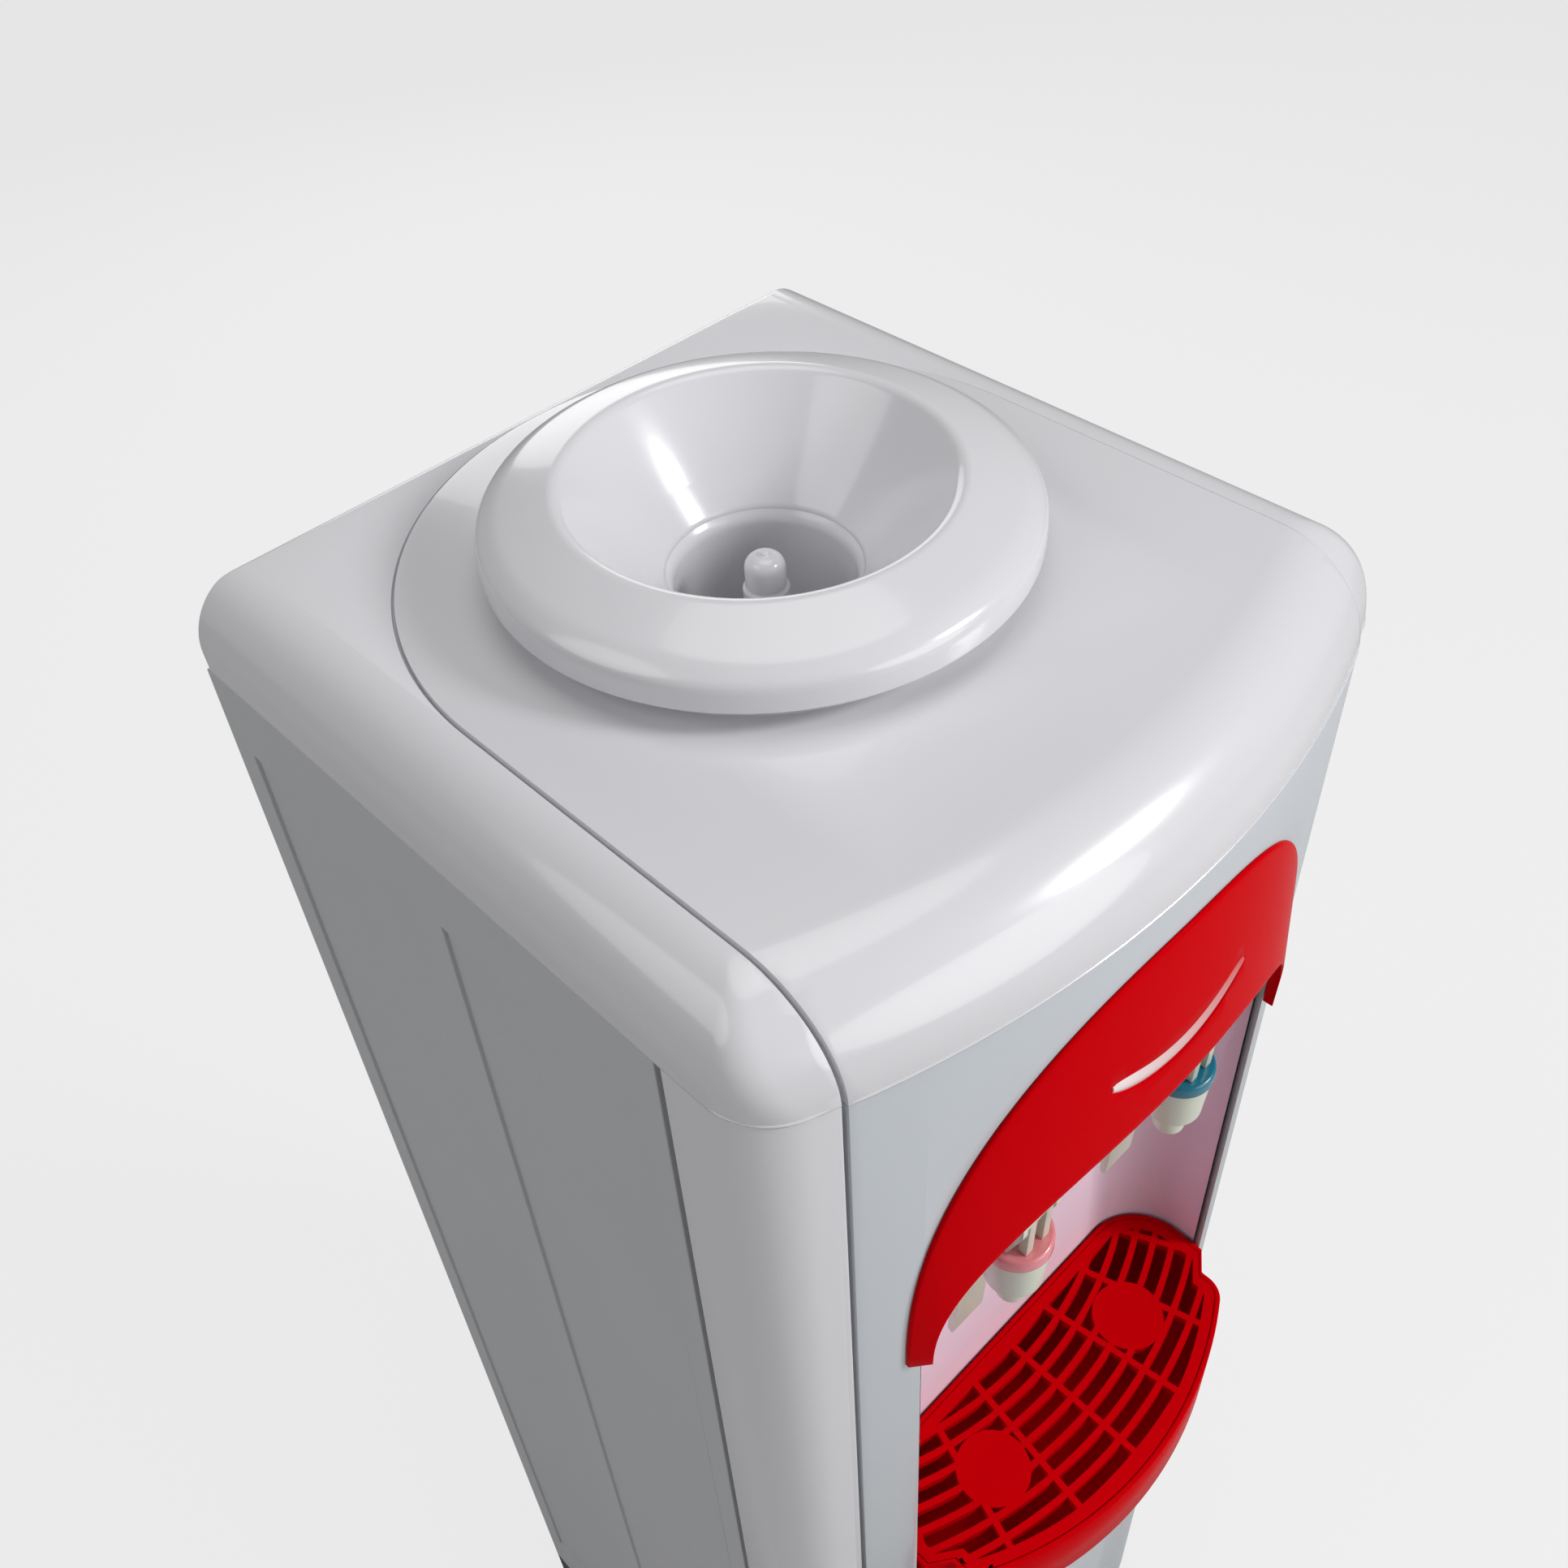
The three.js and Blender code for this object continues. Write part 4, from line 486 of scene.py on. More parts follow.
def cover_form(name, grow, low):
    """The cover's skin, grown or shrunk, from a height up to its rounded top."""
    c = cabinet()
    top = c.top - c.raised + grow
    steps = 24

    def drawn_in(radius, z):
        up = max(0, z - top + radius)
        return radius - math.sqrt(max(0, radius**2 - up**2)) - grow

    rings = []
    rises = [top - c.front_round * (1 - math.sin(quarter * i / steps)) for i in range(steps + 1)]
    for z in [low] + [rise for rise in rises if rise > low]:
        up = max(0, z - top + c.front_round) / c.front_round
        corner = (c.corner + grow) * (1 - up) + c.corner_top * up
        rear_corner = c.rear_corner * (1 - 0.8 * up)
        insets = [drawn_in(radius, z) for radius in (c.side_round, c.front_round, c.rear_round)]
        rings.append([(x, y, z) for x, y in plan(*insets, corner, rear_corner)])
    return ring_stack(name, rings)


def bead(name, line, radius, sides=10):
    """A fine round bead along a line of points."""
    line = [Vector(point) for point in line]

    def place(u, v):
        i = round(u * (len(line) - 1))
        ahead = (line[min(i + 1, len(line) - 1)] - line[max(i - 1, 0)]).normalized()
        across = ahead.cross(Vector((0, 0, 1))).normalized()
        turn = 2 * math.pi * v
        taper = 0.3 if i in (0, len(line) - 1) else 1
        offset = across * math.cos(turn) + across.cross(ahead) * math.sin(turn)
        return line[i] + offset * radius * taper

    return capped(placed_grid(name, len(line) - 1, sides, place))


# Pieces

class DISPENSER_OT_cover(bpy.types.Operator):
    """The moulded cover with its raised middle, groove and collar"""

    bl_idname = "dispenser.cover"
    bl_label = "Top cover"

    def execute(self, context):
        c, s = cabinet(), context.scene.seat_sizes
        outer = cover_form("top_cover_skin", 0, c.seam)
        channel = prism("channel", tombstone(c.middle_half + c.groove), c.seam - overrun, c.top + overrun)
        channel = shaped_by(channel, cover_form("channel_floor", -c.groove_depth, c.seam - 2 * overrun))
        outer = shaped_by(outer, channel)
        middle = cover_form("middle", c.raised, c.seam)
        stone = prism("stone", tombstone(c.middle_half), c.seam - overrun, c.top + overrun)
        middle = shaped_by(middle, stone, "INTERSECT")
        outer = shaped_by(outer, middle, "UNION")
        outer = shaped_by(outer, cover_form("hollow", -c.cover_wall, c.seam - overrun))
        hole = rod("hole", "Z", s.hole, c.seam - overrun, c.top + overrun, seat_axis(), 128)
        outer = shaped_by(outer, hole)
        wall = [
            (s.hole, c.top - c.cover_wall),
            (s.collar, c.top - c.cover_wall),
            (s.collar, s.collar_top),
            (s.hole, s.collar_top),
        ]
        outer = shaped_by(outer, turned("collar", wall, seat_axis(), 128), "UNION")
        cleaned(outer, 0.02 * mm)
        softened(outer, 0.35 * mm)
        bead_z, bead_radius = c.seam + 1.1 * mm, 0.55 * mm
        limit = c.width / 2 - bead_radius
        swing = swing_of(c.middle_half - mm, c.bow_radius + c.raised)
        front = arc((0, c.bow_centre), c.bow_radius + c.raised, down - swing, down + swing, 72)
        skin = [(max(-limit, min(limit, x)), y) for x, y in plan(0, 0, 0, c.corner, c.rear_corner)]
        inner = c.middle_half + c.groove + mm
        corners = [p for p in skin if p[1] < -60 * mm]
        left = [p for p in corners if p[0] < -inner]
        right = [p for p in corners if p[0] > inner]
        for line in (front, left, right):
            trim = bead("bead", [(x, y, bead_z) for x, y in line], bead_radius)
            outer = joined("top_cover_skin", outer, trim)
        dressed(outer, "casing", "top_cover")
        return {"FINISHED"}


class DISPENSER_OT_seat(bpy.types.Operator):
    """The open bottle seat and the water probe in its neck"""

    bl_idname = "dispenser.seat"
    bl_label = "Bottle seat and probe"

    def execute(self, context):
        c, s = cabinet(), context.scene.seat_sizes
        rim, neck = s.rim / mm, s.neck / mm
        face = section(
            c.top,
            [
                (10.3, -65, 0),
                (neck + 2.5, -65, 1.5),
                (neck + 2.5, -8.4, 4),
                (66.5, 26.5, 3),
                (82, 20, 0.5),
                (82, 8, 0.5),
                (84, 8, 0.5),
                (84, 18, 0.4),
                (rim - 2.5, 18, 0.5),
                (rim - 2.5, 9, 0.6),
                (rim, 9, 0.8),
                (rim, 19.5, 6),
                (rim - 7, 24.4, 20),
                (68.6, 31.6, 5),
                (neck, -12.6, 7),
                (neck, -62, 3),
                (10.3, -62, 0.6),
            ],
            5,
        )
        dressed(turned("bottle_seat_bowl", face, seat_axis(), 144), "casing", "bottle_seat")
        low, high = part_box("water_probe")
        shoulder, top = (c.top - low.z) / mm - 17, (high.z - low.z) / mm
        probe = section(
            low.z,
            [
                (0.01, 0, 0),
                (8.7, 0, 1),
                (8.7, 15, 0.4),
                (15, 15, 1),
                (15, 20, 1.5),
                (8.5, 20, 1.2),
                (8.5, shoulder - 1, 0.5),
                (7.4, shoulder, 0.5),
                (7.4, top - 1.2, 5),
                (1.5, top - 1.2, 0.6),
                (1.2, top, 0.5),
                (0.01, top, 0),
            ],
            5,
        )
        stem = turned("water_probe_stem", probe, seat_axis(), 64)
        reach, window = 30 * mm, 2.6 * mm
        for x, y in ((window, reach), (reach, window)):
            low_corner = (-x, s.axis_y - y, c.top - 50 * mm)
            shaped_by(stem, block("window", low_corner, (x, s.axis_y + y, c.top - 27 * mm)))
        softened(stem, 0.3 * mm)
        dressed(stem, "casing", "water_probe")
        return {"FINISHED"}


class DISPENSER_OT_columns(bpy.types.Operator):
    """The two front columns that run from the base up to the cover"""

    bl_idname = "dispenser.columns"
    bl_label = "Front columns"

    def execute(self, context):
        c, f = cabinet(), context.scene.front_sizes
        low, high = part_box("left_column")
        rear_y = high.y
        wall, inner_x = 3 * mm, c.middle_half + c.groove
        flange, return_deep = 14 * mm, 11 * mm
        half = c.width / 2
        inner_radius, inner_corner = c.bow_radius - wall, c.corner - wall

        def side(radius, corner, edge_x):
            corner_x = half - c.corner
            corner_y = c.bow_centre - math.sqrt((c.bow_radius - c.corner) ** 2 - corner_x**2)
            swing = swing_of(corner_x, c.bow_radius - c.corner)
            return arc((-corner_x, corner_y), corner, 2 * quarter, down - swing, 20) + arc(
                (0, c.bow_centre), radius, down - swing, down - swing_of(edge_x, radius), 10
            )

        front_y = bow_at(inner_x)
        return_y = front_y + return_deep
        outer = side(c.bow_radius, c.corner, inner_x)
        inner = side(inner_radius, inner_corner, inner_x + wall)
        outline = (
            [(-half, rear_y)]
            + outer
            + [(-inner_x, return_y), (-inner_x - wall, return_y)]
            + inner[::-1]
            + [(wall - half, rear_y - wall), (flange - half, rear_y - wall), (flange - half, rear_y)]
        )
        left = prism("left_column_shell", outline, low.z, high.z)
        tongue = block(
            "tongue",
            (-inner_x - wall / 2, return_y - wall, f.panel_low),
            (-c.middle_half - c.skin, return_y, high.z),
        )
        shaped_by(left, tongue, "UNION")
        open_door = math.radians(58)  # how steeply the open door's face passes the edge
        edge_x, bevel_y = -c.middle_half - c.door_groove, front_y + c.door_bevel
        bevel_x = edge_x - (c.door_bevel + wall) / math.tan(open_door)
        door_room = [
            (-c.middle_half, front_y - wall),
            (-c.middle_half, return_y + wall),
            (edge_x, return_y + wall),
            (edge_x, bevel_y),
            (bevel_x, front_y - wall),
        ]
        shaped_by(left, prism("door_room", door_room, low.z - wall, f.panel_low))
        softened(left, 0.4 * mm)
        right = mirrored_copy(left, "right_column_shell")
        dressed(left, "casing", "left_column")
        dressed(right, "casing", "right_column")
        return {"FINISHED"}


class DISPENSER_OT_front(bpy.types.Operator):
    """The bowed front panel with its arch, and the niche behind it"""

    bl_idname = "dispenser.front"
    bl_label = "Front panel and niche"

    def execute(self, context):
        c, f = cabinet(), context.scene.front_sizes
        low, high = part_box("front_panel")
        outer, inner = c.bow_radius + c.raised, c.bow_radius + c.raised - f.panel_wall
        edge_y = bow_at(c.middle_half, c.raised)
        side_wall, flange_deep, pin_room, bore = 2.4 * mm, 12 * mm, 3.3 * mm, 7.3 * mm

        def band(radius, sense, half):
            swing = swing_of(half, radius) * sense
            return arc((0, c.bow_centre), radius, down - swing, down + swing, 72)

        shell = band(outer, 1, c.middle_half) + band(inner, -1, c.middle_half)
        skin = prism("front_panel_skin", shell, low.z, high.z)
        for sense in (-1, 1):
            near, far = sorted((sense * c.middle_half, sense * (c.middle_half - side_wall)))
            side = block("side", (near, edge_y + f.panel_wall / 2, low.z), (far, high.y, high.z))
            shaped_by(skin, side, "UNION")
        flange = band(outer - f.panel_wall / 2, 1, c.middle_half) + [
            (c.middle_half, edge_y + flange_deep),
            (-c.middle_half, edge_y + flange_deep),
        ]
        shaped_by(skin, prism("flange", flange, low.z, low.z + f.panel_wall), "UNION")
        sill = f.niche_floor + f.niche_wall
        arch = [(-f.niche_half, sill), (f.niche_half, sill)] + [
            arch_point(f.niche_half, f.arch_rise, 2 * quarter * i / 96) for i in range(97)
        ]
        shaped_by(skin, prism("arch", arch, -overrun, f.niche_back, "Y"))
        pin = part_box("door_pin_upper")
        middle = (pin[0] + pin[1]) / 2
        shaped_by(skin, rod("pin_hole", "Z", pin_room, low.z - overrun, low.z + 10 * mm, middle[:2]))
        softened(skin, 0.35 * mm)
        dressed(skin, "front", "front_panel")

        def niche(grow):
            corner_x, corner_y = f.niche_half - f.niche_corner, f.niche_back - f.niche_corner
            return (
                [(-f.niche_half - grow, -overrun), (f.niche_half + grow, -overrun)]
                + arc((corner_x, corner_y), f.niche_corner + grow, 0, quarter, 20)
                + arc((-corner_x, corner_y), f.niche_corner + grow, quarter, 2 * quarter, 20)
            )

        liner = prism("niche_liner_shell", niche(f.niche_wall), f.niche_floor, f.niche_top + f.niche_wall)
        shaped_by(liner, prism("room", niche(0), sill, f.niche_top))
        reach = 130 * mm
        behind = band(inner - c.skin, 1, reach) + [(reach, 0), (-reach, 0)]
        shaped_by(liner, prism("behind", behind, f.niche_floor - mm, f.niche_top + 9 * mm), "INTERSECT")
        taps = context.scene.tray_tap_sizes
        for x in (-taps.tap_x, taps.tap_x):
            centre = (x, taps.tap_top - taps.pipe_drop)
            shaped_by(liner, rod("bore", "Y", bore, f.niche_back - mm, f.niche_back + 9 * mm, centre))
        softened(liner, 0.9 * mm, 3)
        dressed(liner, "lilac", "niche_liner")
        return {"FINISHED"}


def arch_point(half, rise, angle, power=3):
    """A point of the full arch over the niche, seen from the front."""
    share = max(0, 1 - abs(math.cos(angle)) ** power)
    return (half * math.cos(angle), bpy.context.scene.front_sizes.fascia_low + rise * share ** (1 / power))


def fascia_point(angle, share, proud_share, back):
    """A point of the fascia; the share runs from its upper edge down to its lip."""
    c, f = cabinet(), bpy.context.scene.front_sizes
    upper = arch_point(f.fascia_half, f.fascia_rise, angle, 2.4)
    lower = arch_point(f.lip_half, f.lip_rise, angle, 2.5)
    x = upper[0] * (1 - share) + lower[0] * share
    z = upper[1] * (1 - share) + lower[1] * share
    fullness = 0.5 + 0.5 * math.sin(angle)
    proud = f.edge_proud + (f.lip_proud - f.edge_proud) * share * fullness
    return (x, bow_at(x, c.raised) - back - (proud - back) * proud_share, z)


class DISPENSER_OT_fascia(bpy.types.Operator):
    """The deep red fascia over the niche and the strip in its slot"""

    bl_idname = "dispenser.fascia"
    bl_label = "Fascia and indicator strip"

    def execute(self, context):
        c, f = cabinet(), context.scene.front_sizes
        edge, lip = 0.02, 0.06  # how far each rounding runs into the face, as shares of it
        edge_stand, lip_stand = 0.35, 0.72  # where each rounding begins, as shares of the stand
        profile = [(0, 0), (0, edge_stand)]
        for swing in (quarter * i / 5 for i in range(1, 6)):
            profile.append((edge * (1 - math.cos(swing)), edge_stand + (1 - edge_stand) * math.sin(swing)))
        profile += [(share, 1) for share in (0.1, 0.2, 0.32, 0.44, 0.56, 0.68, 0.8, 0.9)]
        for swing in (quarter * i / 6 for i in range(7)):
            profile.append((1 - lip * (1 - math.sin(swing)), lip_stand + (1 - lip_stand) * math.cos(swing)))
        profile += [(1, lip_stand / 2), (1, 0)]
        stations = 128

        def place(u, v):
            step = round(u * (stations + 2))
            angle = 2 * quarter * min(max(step - 1, 0), stations) / stations
            share, stand = profile[round(v * (len(profile) - 1))]
            closed = step in (0, stations + 2)
            return fascia_point(angle, share, 0 if closed else stand, c.skin)

        piece = capped(placed_grid("fascia_shell", stations + 2, len(profile) - 1, place))

        def smile(steps=32):
            line = []
            for sense in (1, -1):
                for i in range(steps + 1):
                    part = (2 * i / steps - 1) * sense
                    tip = math.sqrt(max(0, 1 - part**6))
                    rise = f.slot_sag * part**2 - f.slot_tall / 2 * tip * sense
                    line.append((f.slot_half * part, f.slot_z + rise))
            return line[: steps + 1] + line[steps + 2 : -1]

        slot_y = bow_at(0, c.raised) - f.slot_deep
        shaped_by(piece, prism("slot", smile(), -overrun, slot_y, "Y"))
        softened(piece, 0.5 * mm)
        dressed(piece, "red", "fascia")
        strip_tall = f.slot_tall - 1.2 * mm

        def strip(u, v):
            x = (f.slot_half - mm) * (2 * u - 1)
            part = x / f.slot_half
            rise = f.slot_sag * part**2 + (v - 0.5) * strip_tall * math.sqrt(1.02 - part**6)
            stand = (5 - 1.1 * part**2) * mm + 0.8 * mm * math.sin(math.pi * v)
            return (x, bow_at(x, c.raised) - stand, f.slot_z + rise)

        lens = placed_grid("indicator_lens_strip", 40, 8, strip)
        applied(lens, "SOLIDIFY", thickness=1 * mm, offset=1, use_even_offset=True)
        cleaned(lens)
        dressed(lens, "lens", "indicator_lens", angle=60)
        return {"FINISHED"}


class DISPENSER_OT_tray(bpy.types.Operator):
    """The drip tray and its grille"""

    bl_idname = "dispenser.tray"
    bl_label = "Drip tray and grille"

    def execute(self, context):
        c, f, t = cabinet(), context.scene.front_sizes, context.scene.tray_tap_sizes
        low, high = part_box("drip_tray")

        def outline(inset):
            corner_x, corner_y = t.half - t.rear_corner, high.y - t.rear_corner
            nose = t.nose_half - inset
            centre_y = bow_at(0, c.raised) - t.reach + t.nose_radius
            radius, corner = t.nose_radius - inset, t.nose_corner - inset
            nose_x = nose - corner
            nose_y = centre_y - math.sqrt((radius - corner) ** 2 - nose_x**2)
            swing = swing_of(nose_x, radius - corner)
            return (
                arc((corner_x, corner_y), t.rear_corner - inset, 0, quarter, 16)
                + arc((-corner_x, corner_y), t.rear_corner - inset, quarter, 2 * quarter, 16)
                + [(inset - t.half, t.step_y), (-nose, t.step_y - t.step_run)]
                + arc((-nose_x, nose_y), corner, 2 * quarter, down - swing, 12)
                + arc((0, centre_y), radius, down - swing, down + swing, 32)[1:-1]
                + arc((nose_x, nose_y), corner, down + swing, 4 * quarter, 12)
                + [(nose, t.step_y - t.step_run), (t.half - inset, t.step_y)]
            )

        tray = prism("drip_tray_shell", outline(0), low.z, high.z)
        shaped_by(tray, prism("room", outline(2 * t.wall), low.z + t.wall, high.z + overrun))
        ledge = t.grille_top - t.grille_deep - c.skin
        shaped_by(tray, prism("ledge", outline(t.wall), ledge, high.z + overrun))
        softened(tray, 0.6 * mm)
        dressed(tray, "red", "drip_tray")
        inset = t.wall + c.skin
        floor = t.grille_top - t.grille_deep
        rear_bar = high.y - inset - t.grille_rim
        nose_bar = bow_at(0, c.raised) - t.reach + inset + t.grille_rim
        centre = (0, rear_bar + t.bar_radius)
        plate = prism("plate", outline(inset), floor, t.grille_top)
        grille = prism("drip_grille_bars", outline(inset), floor, t.grille_top)
        shaped_by(grille, prism("field", outline(inset + t.grille_rim), floor - mm, t.grille_top + mm))
        bars, spokes_each_side, spoke_turn = 9, 4, math.radians(8.2)
        for i in range(bars):
            radius = t.bar_radius + (rear_bar - nose_bar) / (bars - 1) * i
            near, far = radius - t.grille_bar / 2, radius + t.grille_bar / 2
            swing = swing_of(t.half + t.grille_rim, radius)
            points = arc(centre, far, down - swing, down + swing, 32)
            points += arc(centre, near, down + swing, down - swing, 32)
            shaped_by(grille, prism("bar", points, floor, t.grille_top), "UNION")
        for i in range(-spokes_each_side, spokes_each_side + 1):
            turn = down + spoke_turn * i
            way = Vector((math.cos(turn), math.sin(turn)))
            side = Vector((-way.y, way.x)) * t.grille_bar / 2
            start, end = Vector(centre) + way * 130 * mm, Vector(centre) + way * 280 * mm
            points = [tuple(p) for p in (start + side, end + side, end - side, start - side)]
            shaped_by(grille, prism("bar", points, floor, t.grille_top), "UNION")
        for x in (-t.tap_x, t.tap_x):
            rest = rod("rest", "Z", t.boss, floor, t.grille_top, (x, t.tap_y), 64)
            shaped_by(grille, rest, "UNION")
        shaped_by(grille, plate, "INTERSECT")
        cleaned(grille, 0.02 * mm)
        softened(grille, 0.35 * mm, 1)
        dressed(grille, "red", "drip_grille")
        return {"FINISHED"}


class DISPENSER_OT_taps(bpy.types.Operator):
    """The hot and the cold tap with their rings and levers"""

    bl_idname = "dispenser.taps"
    bl_label = "Taps"

    def execute(self, context):
        t, f = context.scene.tray_tap_sizes, context.scene.front_sizes
        for kind, x, ring_finish in (("hot", -t.tap_x, "pink"), ("cold", t.tap_x, "teal")):
            centre = (x, t.tap_y)
            low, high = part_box(kind + "_tap_body")
            mouth, top, radius = (low.z - t.tap_top) / mm, 0, t.tap_radius / mm
            cup = section(
                t.tap_top,
                [
                    (4.4, mouth, 0.4),
                    (6.4, mouth, 0.6),
                    (6.9, -25, 1.2),
                    (11.6, -22, 1.4),
                    (radius, top, 0.4),
                    (radius - 2.6, top, 0.4),
                    (radius - 2.6, -19, 0.5),
                    (4.4, -19, 0.3),
                ],
            )
            body = turned(kind + "_tap_cup", cup, centre, 72)
            near, back = t.tap_y + t.tap_radius - 2 * mm, f.niche_back
            bars = (
                ("pipe", 7, near, back + 9 * mm, 56),
                ("flange", 12.5, back - 3.3 * mm, back - 0.3 * mm, 64),
                ("tail", 4.6, back + 8 * mm, high.y, 40),
            )
            for name, radius, start, end, sides in bars:
                bar = rod(name, "Y", radius * mm, start, end, (x, t.tap_top - t.pipe_drop), sides)
                shaped_by(body, bar, "UNION")
            softened(body, 0.5 * mm, 3)
            dressed(body, "cream", kind + "_tap_body")
            low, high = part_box(kind + "_tap_ring")
            radius, top = (high.x - x) / mm, (high.z - low.z) / mm
            ring = section(low.z, [(3.7, 0, 0.3), (radius, 0, 0.6), (radius, top, 1.6), (3.7, top, 0.4)])
            dressed(turned(kind + "_tap_collar", ring, centre, 72), ring_finish, kind + "_tap_ring")
            lever = cad_copy(kind + "_tap_lever", kind + "_tap_handle")
            softened(lever, 0.5 * mm, angle=40)
            dressed(lever, "cream", kind + "_tap_lever")
        return {"FINISHED"}


class DISPENSER_OT_feet(bpy.types.Operator):
    """The four rubber feet"""

    bl_idname = "dispenser.feet"
    bl_label = "Feet"

    def execute(self, context):
        for node in [name for name in nodes if name.startswith("foot_")]:
            low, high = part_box(node)
            centre = ((low.x + high.x) / 2, (low.y + high.y) / 2)
            radius, top, stud = (high.x - low.x) / 2 / mm, 11.7, (high.z - low.z) / mm
            pad = section(
                low.z,
                [
                    (0.01, 0.6, 0),
                    (6, 0.6, 0.5),
                    (7, 0, 0.5),
                    (radius - 2.5, 0, 1.5),
                    (radius, 3, 1.5),
                    (radius, top, 1),
                    (5.7, top, 0.4),
                    (5.7, stud, 0.6),
                    (0.01, stud, 0),
                ],
            )
            dressed(turned(node + "_pad", pad, centre, 64), "rubber", node)
        return {"FINISHED"}


class DISPENSER_OT_sheets(bpy.types.Operator):
    """Flat and bent pieces: the CAD shape with softened edges"""

    bl_idname = "dispenser.sheets"
    bl_label = "Panels, door and fittings"

    edges = {
        "left_side_panel": ("panel", 0.4),
        "right_side_panel": ("panel", 0.4),
        "cabinet_door": ("front", 0.5),
        "base_pan": ("dark", 0.6),
        "cabinet_liner": ("ceramic", 0.5),
        "switch_plate": ("dark", 0.5),
        "power_inlet": ("dark", 0.3),
        "hot_switch": ("red", 0.4),
        "cold_switch": ("teal", 0.4),
        "drain_plug": ("rubber", 0.6),
    }

    def execute(self, context):
        for node, (finish, width) in self.edges.items():
            piece = cad_copy(node, node + "_fine")
            softened(piece, width * mm, angle=40)
            dressed(piece, finish, node, angle=20)
        return {"FINISHED"}


# Finishes

def effect(name, inputs, outputs):
    """An empty node group with named inputs and outputs, built once."""
    group = bpy.data.node_groups.new(name, "ShaderNodeTree")
    for label, kind, default in inputs:
        socket = group.interface.new_socket(name=label, in_out="INPUT", socket_type="NodeSocket" + kind)
        if default is not None:
            socket.default_value = default
    for label, kind in outputs:
        group.interface.new_socket(name=label, in_out="OUTPUT", socket_type="NodeSocket" + kind)
    return group, group.nodes.new("NodeGroupInput"), group.nodes.new("NodeGroupOutput")


def math_node(tree, operation, first, second):
    node = tree.nodes.new("ShaderNodeMath")
    node.operation = operation
    for i, value in enumerate((first, second)):
        if isinstance(value, (int, float)):
            node.inputs[i].default_value = value
        else:
            tree.links.new(value, node.inputs[i])
    return node.outputs[0]


def shaded_by(pattern, group, start, end):
    """Scales a group's colour by a pattern that swings about one half."""
    drift = math_node(group, "SUBTRACT", pattern, 0.5)
    spread = math_node(group, "MULTIPLY", drift, start.outputs["Amount"])
    level = math_node(group, "ADD", spread, 1)
    shade = group.nodes.new("ShaderNodeVectorMath")
    shade.operation = "SCALE"
    group.links.new(start.outputs["Color"], shade.inputs[0])
    group.links.new(level, shade.inputs["Scale"])
    group.links.new(shade.outputs[0], end.inputs["Color"])


def mottled_tone():
    """A colour that drifts a little lighter and darker over the surface."""
    inputs = [
        ("Vector", "Vector", None),
        ("Color", "Color", (1, 1, 1, 1)),
        ("Size", "Float", 6),
        ("Amount", "Float", 0.05),
    ]
    group, start, end = effect("Mottled tone", inputs, [("Color", "Color")])
    cloud = group.nodes.new("ShaderNodeTexNoise")
    cloud.inputs["Detail"].default_value = 3
    group.links.new(start.outputs["Vector"], cloud.inputs["Vector"])
    group.links.new(start.outputs["Size"], cloud.inputs["Scale"])
    shaded_by(cloud.outputs["Fac"], group, start, end)


def fine_grain():
    """Moulding or paint grain: a height, and a roughness that varies with it."""
    inputs = [
        ("Vector", "Vector", None),
        ("Size", "Float", 900),
        ("Roughness", "Float", 0.3),
        ("Spread", "Float", 0.1),
    ]
    group, start, end = effect("Fine grain", inputs, [("Height", "Float"), ("Roughness", "Float")])
    grain = group.nodes.new("ShaderNodeTexNoise")
    grain.inputs["Detail"].default_value = 4
    smear = group.nodes.new("ShaderNodeTexNoise")
    smear.inputs["Scale"].default_value = 14
    smear.inputs["Detail"].default_value = 5
    group.links.new(start.outputs["Vector"], grain.inputs["Vector"])
    group.links.new(start.outputs["Vector"], smear.inputs["Vector"])
    group.links.new(start.outputs["Size"], grain.inputs["Scale"])
    drift = math_node(group, "SUBTRACT", smear.outputs["Fac"], 0.5)
    spread = math_node(group, "MULTIPLY", drift, start.outputs["Spread"])
    rough = math_node(group, "ADD", spread, start.outputs["Roughness"])
    group.links.new(grain.outputs["Fac"], end.inputs["Height"])
    group.links.new(rough, end.inputs["Roughness"])


def cells():
    """Beads or crystal spangles: each cell has its own shade, with a seam between."""
    inputs = [
        ("Vector", "Vector", None),
        ("Color", "Color", (1, 1, 1, 1)),
        ("Size", "Float", 200),
        ("Amount", "Float", 0.2),
    ]
    group, start, end = effect("Cells", inputs, [("Color", "Color"), ("Height", "Float")])
    pattern = group.nodes.new("ShaderNodeTexVoronoi")
    group.links.new(start.outputs["Vector"], pattern.inputs["Vector"])
    group.links.new(start.outputs["Size"], pattern.inputs["Scale"])
    parts = group.nodes.new("ShaderNodeSeparateColor")
    group.links.new(pattern.outputs["Color"], parts.inputs[0])
    shaded_by(parts.outputs[0], group, start, end)
    group.links.new(pattern.outputs["Distance"], end.inputs["Height"])


